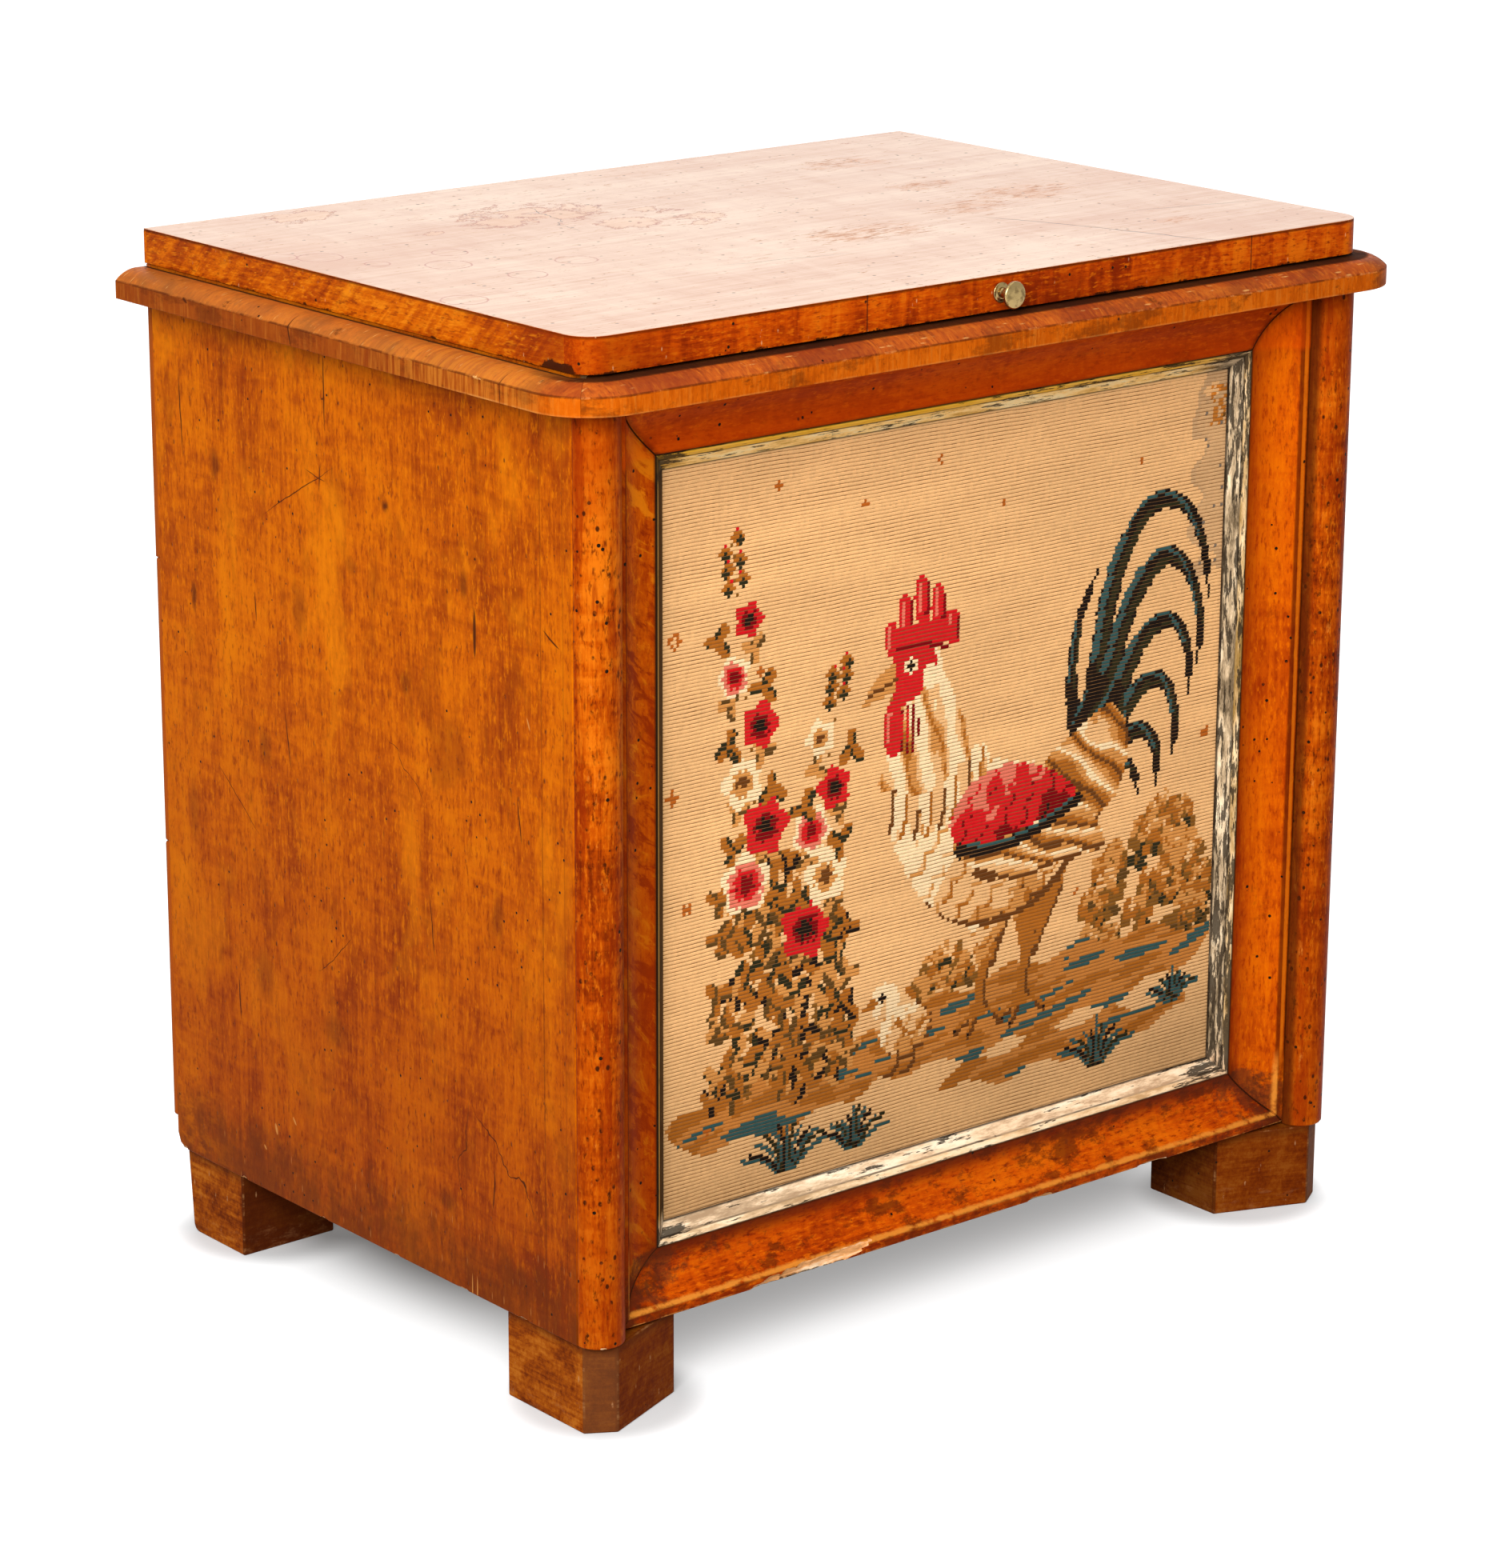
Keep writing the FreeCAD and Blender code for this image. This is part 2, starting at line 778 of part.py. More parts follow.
def knob():
    """A turned knob with a straight neck, a flared back and a bevelled face."""
    rose = length("rose_thickness")
    neck = length("knob_neck_radius")
    bore = length("knob_screw_radius") + screw_clearance
    grip_end = rose + length("knob_screw_grip") + screw_clearance
    radius = length("knob_radius")
    edge = length("knob_edge_place")
    face_base = edge + length("knob_edge")
    body = new_body("knob", (0, front, knob_z))
    profile = outline(body, "knob_profile", "XY_Plane", [
        (bore, -rose),
        (neck, -rose),
        (neck, -(rose + length("knob_neck_length"))),
        (radius, -edge),
        (radius, -face_base),
        (length("knob_face_radius"), -length("knob_length")),
        (0, -length("knob_length")),
        (0, -grip_end),
        (bore, -grip_end)])
    revolve(body, profile, 360)
    finish(body)


def knob_rose():
    rose = length("rose_thickness")
    bore = length("knob_screw_radius") + screw_clearance
    radius = length("rose_radius")
    body = new_body("knob_rose", (0, front, knob_z))
    profile = outline(body, "rose_profile", "XY_Plane", [
        (bore, 0),
        (radius, 0),
        (radius, -length("rose_rim")),
        (length("knob_neck_radius"), -rose),
        (bore, -rose)])
    revolve(body, profile, 360)
    finish(body)


def knob_fixing(name, room):
    """The knob's screw, or with room round it the hole for it."""
    reach = length("knob_screw_length")
    start = front - length("rose_thickness") - length("knob_screw_grip")
    return rod(name, (0, start + reach + room, knob_z), length("knob_screw_radius") + room,
               reach + room, Vector(1, 0, 0), 90)


# Assembly

for side_name, side_sign in SIDES.items():
    side_panel(side_name, side_sign)
    corner_post(side_name, side_sign)
    rim_side(side_name, side_sign)
    front_foot(side_name, side_sign)
    back_foot(side_name, side_sign)
front_board()
frame_bars()
slip_bars()
needlework()
rim_front()
box_hinge_holes, lid_hinge_holes = hinges()
back_rail(box_hinge_holes)
back_boards()
bottom_boards()
glue_blocks()
lid_cleats()
knob_hole_tool = knob_fixing("knob_hole", screw_clearance)
lid_panel(lid_hinge_holes + [knob_hole_tool])
lid_veneer()
lid_bands(knob_hole_tool)
knob()
knob_rose()
finish(knob_fixing("knob_screw", 0))
doc.recompute()

for item in doc.Objects:
    if "Invalid" in item.State or "Error" in item.State:
        raise RuntimeError(f"{item.Name} did not rebuild: {item.State}")
for item in finished:
    if item.Shape.isNull() or not item.Shape.isValid():
        raise RuntimeError(f"{item.Label} has no valid shape")
for body, bar in mitred:
    if not body.Shape.Volume < bar.Shape.Volume:
        raise RuntimeError(f"{body.Label} has no mitres")

os.makedirs("parts", exist_ok=True)
for item in finished:
    item.Shape.exportStep(f"parts/{item.Label}.step")
    print(item.Label, len(item.Shape.Solids), round(item.Shape.Volume))
print(len(finished), "pieces")
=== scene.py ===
import math
import random

import bmesh
import bpy
from mathutils import Matrix, Vector, noise


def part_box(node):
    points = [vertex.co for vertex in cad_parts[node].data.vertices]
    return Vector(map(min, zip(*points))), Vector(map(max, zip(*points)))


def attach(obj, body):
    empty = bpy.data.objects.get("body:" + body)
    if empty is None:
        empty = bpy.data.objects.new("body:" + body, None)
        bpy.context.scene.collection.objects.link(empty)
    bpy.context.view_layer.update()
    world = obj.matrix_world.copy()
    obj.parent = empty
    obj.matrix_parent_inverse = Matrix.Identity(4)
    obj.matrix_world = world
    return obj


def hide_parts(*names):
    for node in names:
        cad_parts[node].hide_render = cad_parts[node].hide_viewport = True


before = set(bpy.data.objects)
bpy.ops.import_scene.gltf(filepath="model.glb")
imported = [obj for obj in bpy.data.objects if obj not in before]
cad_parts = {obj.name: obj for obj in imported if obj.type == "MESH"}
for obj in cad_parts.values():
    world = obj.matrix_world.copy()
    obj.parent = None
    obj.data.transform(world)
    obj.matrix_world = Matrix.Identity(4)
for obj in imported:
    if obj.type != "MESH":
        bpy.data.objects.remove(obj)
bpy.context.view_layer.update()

# Sizes taken from the frame, in metres
MM = 0.001
LID_LOW, LID_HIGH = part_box("lid_top_veneer")
BAND_LOW, BAND_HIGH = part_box("lid_band_front")
SIDE_LOW, SIDE_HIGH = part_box("side_panel_left")
POST_LOW, POST_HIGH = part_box("corner_post_left")
STILE_LOW, STILE_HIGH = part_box("frame_stile_left")
RAIL_LOW, RAIL_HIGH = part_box("frame_rail_top")
RIM_LOW, RIM_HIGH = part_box("rim_front")
SLIP_LOW, SLIP_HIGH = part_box("gilt_slip_left")
SLIP_TOP_LOW, SLIP_TOP_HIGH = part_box("gilt_slip_top")
SLIP_BASE_LOW, SLIP_BASE_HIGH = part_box("gilt_slip_bottom")
CANVAS_LOW, CANVAS_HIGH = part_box("needlework_canvas")
FOOT_LOW, FOOT_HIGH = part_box("foot_front_left")
BACK_FOOT_LOW, BACK_FOOT_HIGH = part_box("foot_back_left")
BACK_LOW, BACK_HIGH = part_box("back_board_lower")
KNOB_LOW, KNOB_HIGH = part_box("knob")
ROSE_LOW, ROSE_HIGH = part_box("knob_rose")

LID_FRONT = LID_LOW.y
LID_BASE = BAND_LOW.z
BOX_BASE = SIDE_LOW.z
FRAME_MIDDLE = (STILE_LOW.z + STILE_HIGH.z) / 2
FRAME_HALF_WIDTH = RAIL_HIGH.x
OPENING_HALF_WIDTH = -SLIP_LOW.x
OPENING_HALF_HEIGHT = SLIP_TOP_HIGH.z - FRAME_MIDDLE
FRAME_LIP = FRAME_HALF_WIDTH - OPENING_HALF_WIDTH

# Wood and finish colours
HONEY = (0.62, 0.150, 0.003)
RUSSET = (0.33, 0.050, 0.001)
MAHOGANY_RED = (0.19, 0.019, 0.001)
UMBER = (0.060, 0.012, 0.002)
# GRIME_AND_SHADE is near black: for grime, holes and joints, and for the painted shadow under the lid.
GRIME_AND_SHADE = (0.014, 0.007, 0.004)
RAW_WOOD = (0.80, 0.37, 0.135)
OLD_PINE = (0.42, 0.225, 0.088)


class Value:
    """A number, place or colour that varies over a surface. A sum on it adds its nodes."""

    def __init__(self, finish, socket):
        self.finish = finish
        self.socket = socket

    def maths(self, operation, *others):
        inputs = dict(enumerate((self,) + others))
        return self.finish.node("ShaderNodeMath", {"operation": operation}, inputs)

    def __add__(self, other):
        return self.maths("ADD", other)

    def __sub__(self, other):
        return self.maths("SUBTRACT", other)

    def __rsub__(self, other):
        return self.maths("MULTIPLY", -1) + other

    def __mul__(self, other):
        return self.maths("MULTIPLY", other)

    def __truediv__(self, other):
        return self.maths("DIVIDE", other)

    def __abs__(self):
        return self.maths("ABSOLUTE")

    def __pow__(self, other):
        return self.maths("POWER", other)

    __radd__ = __add__
    __rmul__ = __mul__

    def most(self, other):
        return self.maths("MAXIMUM", other)

    def least(self, other):
        return self.maths("MINIMUM", other)

    def rising(self, low, high):
        """From 0 at low to 1 at high, with soft ends. With low above high it falls."""
        return self.finish.node(
            "ShaderNodeMapRange", {"interpolation_type": "SMOOTHSTEP"},
            {"Value": self, "From Min": low, "From Max": high})


class Finish:
    """A material while it is being made."""

    def __init__(self, name):
        self.material = bpy.data.materials.new(name)
        self.material.use_nodes = True
        self.tree = self.material.node_tree
        self.tree.nodes.clear()
        self.place = self.node("ShaderNodeTexCoord", out="Object")
        axes = self.node("ShaderNodeSeparateXYZ", inputs={"Vector": self.place}).socket.node
        self.x, self.y, self.z = (Value(self, axes.outputs[letter]) for letter in "XYZ")
        self.leaf = self.marked("leaf")
        self.colour = None

    def node(self, kind, settings=None, inputs=None, out=0):
        node = self.tree.nodes.new(kind)
        for name, setting in (settings or {}).items():
            setattr(node, name, setting)
        for name, source in (inputs or {}).items():
            socket = node.inputs[name]
            if isinstance(source, Value):
                self.tree.links.new(source.socket, socket)
            else:
                socket.default_value = source
        return Value(self, node.outputs[out])

    def lay(self, share, tone):
        """Lays a tone over the colour so far, by a share from 0 to 1."""
        self.colour = self.mix(share, self.colour, tone)

    def vector(self, operation, first, second, out="Vector"):
        return self.node("ShaderNodeVectorMath", {"operation": operation}, {0: first, 1: second}, out)

    def marked(self, name, out="Fac"):
        """What a piece's own points say under this name."""
        return self.node("ShaderNodeAttribute", {"attribute_name": name}, out=out)

    def cloud(self, scales, detail=3.0, rough=0.5, bend=0.0, place=None):
        """Soft noise between 0 and 1, different on each leaf of wood."""
        return self.node(
            "ShaderNodeTexNoise", {"noise_dimensions": "4D"},
            {"Vector": self.vector("MULTIPLY", place or self.place, scales), "W": self.leaf, "Scale": 1.0,
             "Detail": detail, "Roughness": rough, "Distortion": bend})

    def cells(self, scales):
        """How far a place is from the nearest of many scattered points."""
        shift = self.node("ShaderNodeCombineXYZ", inputs={axis: self.leaf * 7.3 for axis in "XYZ"})
        place = self.vector("ADD", self.vector("MULTIPLY", self.place, scales), shift)
        return self.node("ShaderNodeTexVoronoi", inputs={"Vector": place, "Scale": 1.0})

    def mix(self, factor, first, second, way="MIX"):
        node = self.tree.nodes.new("ShaderNodeMix")
        node.data_type = "RGBA"
        node.blend_type = way
        for socket, source in ((node.inputs[0], factor), (node.inputs[6], first), (node.inputs[7], second)):
            if isinstance(source, Value):
                self.tree.links.new(source.socket, socket)
            else:
                socket.default_value = (*source, 1) if isinstance(source, tuple) else source
        return Value(self, node.outputs[2])

    def tones(self, factor, stops):
        """A run of colours at these places between 0 and 1."""
        node = self.tree.nodes.new("ShaderNodeValToRGB")
        ramp = node.color_ramp
        ramp.elements[0].position, ramp.elements[0].color = stops[0][0], (*stops[0][1], 1)
        ramp.elements[1].position, ramp.elements[1].color = stops[-1][0], (*stops[-1][1], 1)
        for position, colour in stops[1:-1]:
            ramp.elements.new(position).color = (*colour, 1)
        self.tree.links.new(factor.socket, node.inputs[0])
        return Value(self, node.outputs[0])

    def surface(self, colour, rough, height=None, depth=MM, metal=0.0, **constants):
        inputs = {"Base Color": colour, "Roughness": rough, "Metallic": metal}
        if height is not None:
            inputs["Normal"] = self.node("ShaderNodeBump", inputs={
                "Strength": 1.0, "Distance": depth, "Height": height})
        for name, constant in constants.items():
            inputs[name.replace("_", " ")] = constant
        self.end(self.node("ShaderNodeBsdfPrincipled", inputs=inputs, out="BSDF"))
        return self.material

    def end(self, shader):
        end = self.tree.nodes.new("ShaderNodeOutputMaterial")
        self.tree.links.new(shader.socket, end.inputs["Surface"])


# Finishes

def along_grain(grain, across, along):
    """Scales for a pattern that is this fine across the grain and this fine along it."""
    return tuple(along if letter in grain else across for letter in "xyz")


def shade(colour, share):
    return tuple(c * share for c in colour)


def birch_tones(*tones):
    """Four tones from the dark to the light of the grain, each with its level."""
    return list(zip((0.27, 0.42, 0.56, 0.73), tones))


def figured_wood(finish, grain, tones, figure=0.5, contrast=2.0, ripple=80, place=None, dashed=0.5):
    """Birch with soft clouds, flames across the grain, fine fibres and dark dashes along it.
    The finish keeps the colour, and the fibres' height comes back."""
    clouds = finish.cloud(along_grain(grain, 15, 6), 4, 0.6, 0.6, place)
    flames = finish.cloud(along_grain(grain, ripple * 0.22, ripple), 3, 0.6, 1.2, place)
    fibres = finish.cloud(along_grain(grain, 430, 16), 3, 0.7, 0, place)
    streaks = finish.cloud(along_grain(grain, 130, 3.6), 4, 0.65, 0, place)
    tone = clouds * (0.56 - figure * 0.36) + flames * (0.10 + figure * 0.36) + fibres * 0.20 + streaks * 0.14
    finish.colour = finish.tones((tone - 0.5) * contrast + 0.5, tones)
    mottle = finish.cloud(along_grain(grain, 85, 34), 6, 0.72, 0.8, place)
    finish.lay(mottle.rising(0.53, 0.70) * 0.60, tones[0][1])
    finish.lay(mottle.rising(0.44, 0.30) * 0.50, tones[-1][1])
    grit = finish.cloud(along_grain(grain, 460, 150), 2, 0.7, 0, place)
    finish.lay(grit.rising(0.52, 0.70) * 0.80, tones[0][1])
    finish.lay(grit.rising(0.48, 0.31) * 0.75, tones[-1][1])
    dashes = finish.cells(along_grain(grain, 230, 60)).rising(0.24, 0.10)
    few = finish.cloud((36, 36, 36), 2).rising(0.50, 0.62)
    finish.lay(dashes * few * dashed, UMBER)
    return fibres


def worm_holes(finish, size, thin):
    """Small round flight holes, few where thin is high."""
    spots = finish.cells((95, 95, 95))
    gate = finish.cloud((17, 17, 17), detail=1).rising(thin, thin + 0.05)
    return spots.rising(size + 0.02, size) * gate


def strokes(finish, axis, lines):
    """Scratches and cracks that taper at both ends, each from a place to a place on a face
    that looks along this axis, with its width and how far it wanders."""
    total = 0.0
    wander = finish.cloud((46, 46, 46), detail=3) - 0.5
    for start, end, width, bow in lines:
        start, end = Vector(start), Vector(end)
        ahead = (end - start).normalized()
        aside = Vector(axis).cross(ahead)
        forward = finish.vector("DOT_PRODUCT", finish.place, ahead, "Value") - start.dot(ahead)
        share = forward / (end - start).length
        sideways = finish.vector("DOT_PRODUCT", finish.place, aside, "Value") - start.dot(aside)
        off = abs(sideways + wander * bow)
        half = ((share * (1 - share)).most(0.0)) ** 0.5 * width
        total = (half - off).rising(0.0, width * 0.35).most(total)
    return total


def smudges(finish, across, spots):
    """Soft dark marks at known places, each with its place, half sizes in mm and strength."""
    total = 0.0
    wander = (finish.cloud((90, 90, 90), detail=3) - 0.5) * 9 * MM
    for along, up, wide, tall, strength in spots:
        away = (((across + wander - along * MM) / (wide * MM)) ** 2
                + ((finish.z + wander - BOX_BASE - up * MM) / (tall * MM)) ** 2) ** 0.5
        total = (away.rising(1.1, 0.2) * strength).most(total)
    return total


POLISH = {"IOR": 1.5, "Specular_IOR_Level": 0.03, "Specular_Tint": (1.0, 0.45, 0.12, 1)}
LEFT, RIGHT, BACK = SIDE_LOW.x, -SIDE_LOW.x, SIDE_HIGH.y

# From y and height above the box's base to y and height, width and wander, all in mm
SIDE_LINES = [
    (-109.8, 436, -109.8, 404, 4.6, 2), (40, 565, 40, 515, 1.9, 2), (45, 495, 47, 476, 1.5, 2),
    (199, 530, 197, 470, 1.8, 4), (150, 140, 148, 110, 2.1, 3), (-124, 90, -121, 60, 1.8, 3),
    (-176, 436, -192, 427, 2.0, 3), (110, 450, 30, 495, 1.1, 4), (62, 488, 40, 484, 1.2, 6),
    (-100, 130, -170, 65, 1.3, 30), (-100, 130, -85, 60, 1.2, 26), (170, 280, 120, 240, 1.0, 5),
    (-20, 340, -60, 300, 0.9, 20), (90, 330, 84, 290, 1.6, 3), (-60, 250, -66, 205, 1.4, 5),
    (20, 200, 60, 165, 0.9, 12), (-150, 330, -154, 300, 1.7, 3), (120, 400, 119, 380, 1.9, 3)]

# Place along y and height, half sizes in mm, and strength
SIDE_SPOTS = [
    (161, 473, 7, 13, 0.6), (-22, 480, 4, 5, 0.9), (-100, 447, 6, 12, 0.6), (188, 382, 4, 12, 0.8),
    (72, 399, 10, 22, 0.35), (14, 436, 7, 7, 0.35), (216, -6, 8, 12, 0.95), (150, -3, 5, 9, 0.9),
    (-74, 54, 16, 10, 0.5), (-148, 25, 12, 12, 0.5), (112, 300, 9, 16, 0.45), (-130, 250, 8, 18, 0.45),
    (40, 130, 22, 14, 0.35), (120, 150, 14, 22, 0.35), (196, 240, 8, 30, 0.35), (-40, 375, 8, 9, 0.4)]

SIDE_SCRAPES = [
    (-104, 14, -104, -8, 1.4, 1), (-99, 14, -99, -8, 1.4, 1), (112, 50, 110, 42, 4.0, 3),
    (92, 60, 88, 55, 2.6, 3), (126, 31, 123, 28, 2.2, 2), (-160, 380, -163, 372, 2.0, 2)]


def on_side(lines):
    return [((LEFT, y * MM, BOX_BASE + z * MM), (LEFT, far_y * MM, BOX_BASE + far_z * MM),
             wide * MM, bow * MM) for y, z, far_y, far_z, wide, bow in lines]


def side_veneer(name, marked):
    """Upright honey-coloured veneer, with painted shade towards the bottom and under the rim, soiled and
    rubbed along the bottom, raw inside.
    """
    finish = Finish(name)
    dark_brown = (0.19, 0.028, 0.001)
    fibres = figured_wood(finish, "z", [
        (0.27, (0.27, 0.036, 0.001)), (0.42, (0.45, 0.080, 0.001)), (0.55, (0.585, 0.120, 0.001)),
        (0.73, (0.68, 0.168, 0.001))], figure=0.30, contrast=2.3, dashed=0.40)
    # Painted shade: the veneer grows darker towards the bottom.
    lower = finish.z.rising(BOX_BASE + 0.43, BOX_BASE)
    finish.colour = finish.mix(lower * 0.90, finish.colour, (0.66, 0.54, 1.0), "MULTIPLY")
    clouds = finish.cloud((26, 26, 13), 5, 0.7, 0.4).rising(0.52, 0.68)
    finish.lay(clouds * 0.45, dark_brown)
    glow = finish.cloud((17, 17, 9), 4, 0.65, 0.4).rising(0.52, 0.66) * (1 - lower * 0.8)
    finish.lay(glow * 0.50, (0.80, 0.225, 0.002))
    # Painted shade under the rim's overhang.
    shade_under_rim = finish.z.rising(RIM_LOW.z - 11 * MM, RIM_LOW.z)
    finish.lay(shade_under_rim * 0.42, UMBER)
    for place, strength in ((POST_HIGH.y + 9 * MM, 0.30), (POST_HIGH.y + 30 * MM, 0.45), (-0.120, 0.16)):
        finish.lay(abs(finish.y - place).rising(0.8 * MM, 0.1 * MM) * strength, UMBER)
    rubbed = finish.cloud((70, 70, 120), 6, 0.72)
    near_post = finish.y.rising(POST_HIGH.y + 26 * MM, POST_HIGH.y)
    finish.lay(near_post * 0.14, RUSSET)
    soil = finish.z.rising(BOX_BASE + 100 * MM, BOX_BASE) * 0.40 + finish.cloud((60, 60, 30), 6, 0.74) * 0.80
    finish.lay(soil.rising(0.52, 0.88) * 0.78, (0.12, 0.022, 0.002))
    scores = finish.cells((260, 260, 36)).rising(0.13, 0.05) * soil.rising(0.54, 0.66)
    finish.lay(scores * 0.50, (0.55, 0.21, 0.05))
    low_edge = finish.z.rising(BOX_BASE + 7 * MM, BOX_BASE + 0.5 * MM)
    bare = (low_edge * 0.35 + rubbed * 0.80).rising(0.80, 0.88)
    finish.lay(bare * 0.45, (0.46, 0.17, 0.04))
    holes = worm_holes(finish, 0.070, 0.52)
    specks = finish.cells((170, 170, 90)).rising(0.20, 0.08) * rubbed.rising(0.49, 0.58)
    finish.lay(specks * 0.75, UMBER)
    if marked:
        on_left = finish.x.rising(LEFT + 2 * MM, LEFT + 1 * MM)
        finish.lay(smudges(finish, finish.y, SIDE_SPOTS) * on_left, (0.075, 0.012, 0.002))
        finish.lay(strokes(finish, (1, 0, 0), on_side(SIDE_LINES)) * on_left * 0.92, (0.040, 0.009, 0.002))
        finish.lay(strokes(finish, (1, 0, 0), on_side(SIDE_SCRAPES)) * on_left * 0.75, (0.62, 0.26, 0.06))
    finish.lay(holes, GRIME_AND_SHADE)
    free_edge = finish.y.rising(POST_HIGH.y + 40 * MM, POST_HIGH.y + 80 * MM)
    finish.lay(finish.marked("arris") * free_edge * rubbed.rising(0.46, 0.62) * 0.5, HONEY)
    inside = abs(finish.x).rising(RIGHT - 6 * MM, RIGHT - 9 * MM)
    raw = finish.mix(fibres * 0.6, OLD_PINE, shade(OLD_PINE, 0.55))
    finish.lay(inside, raw)
    rough = 0.38 + rubbed * 0.16 + bare * 0.3 + inside * 0.3
    height = fibres * 0.08 - holes - specks * 0.4 - bare * rubbed * 0.6
    return finish.surface(finish.colour, rough, height, 0.5 * MM, **POLISH)


def post_veneer():
    """The half-round staffs: redder, dented, with dark dashes and more worm."""
    finish = Finish("russet_birch_post")
    fibres = figured_wood(finish, "z", birch_tones(
        (0.13, 0.011, 0.001), (0.32, 0.040, 0.001), (0.47, 0.072, 0.001), (0.63, 0.140, 0.004)),
        figure=0.36, contrast=2.8)
    # Painted shade: the post grows darker towards the bottom.
    lower = finish.z.rising(BOX_BASE + 0.36, BOX_BASE)
    finish.lay(lower * 0.45, (0.28, 0.032, 0.001))
    # Painted shade under the rim.
    top = finish.z.rising(RIM_LOW.z - 0.10, RIM_LOW.z - 0.01)
    finish.lay(top * 0.55, (0.34, 0.040, 0.001))
    rubbed = finish.cloud((80, 80, 120), 6, 0.72)
    red = finish.cloud((110, 110, 9), 6, 0.70).rising(0.50, 0.60)
    finish.lay(red * 0.62, (0.25, 0.020, 0.001))
    pale = finish.cloud((190, 190, 70), 6, 0.70).rising(0.60, 0.70) * (1 - top)
    finish.lay(pale * 0.45, (0.72, 0.24, 0.030))
    battered = finish.cloud((48, 48, 48), 5, 0.7).rising(0.47, 0.56)
    dents = finish.cells((170, 170, 120)).rising(0.26, 0.14) * battered
    finish.lay(dents * 0.92, (0.030, 0.006, 0.002))
    smears = finish.cloud((230, 230, 90), 5, 0.75).rising(0.57, 0.66)
    finish.lay(smears * 0.75, (0.060, 0.009, 0.001))
    low_edge = finish.z.rising(BOX_BASE + 16 * MM, BOX_BASE)
    bare = (low_edge * 0.36 + rubbed * 0.8).rising(0.80, 0.88)
    finish.lay(bare * 0.50, (0.52, 0.20, 0.05))
    holes = worm_holes(finish, 0.095, 0.40)
    finish.lay(holes, GRIME_AND_SHADE)
    # Painted shade where the post meets the side panel and the frame.
    edge = abs(finish.y - POST_HIGH.y).rising(1.2 * MM, 0.0).most(
        abs(finish.x).rising(FRAME_HALF_WIDTH + 3.5 * MM, FRAME_HALF_WIDTH + 0.8 * MM) * 1.3)
    finish.lay(edge * 0.60, UMBER)
    height = fibres * 0.08 - holes - dents * 0.5 - bare * rubbed * 0.4
    return finish.surface(finish.colour, 0.36 + rubbed * 0.16, height, 0.5 * MM, **POLISH)


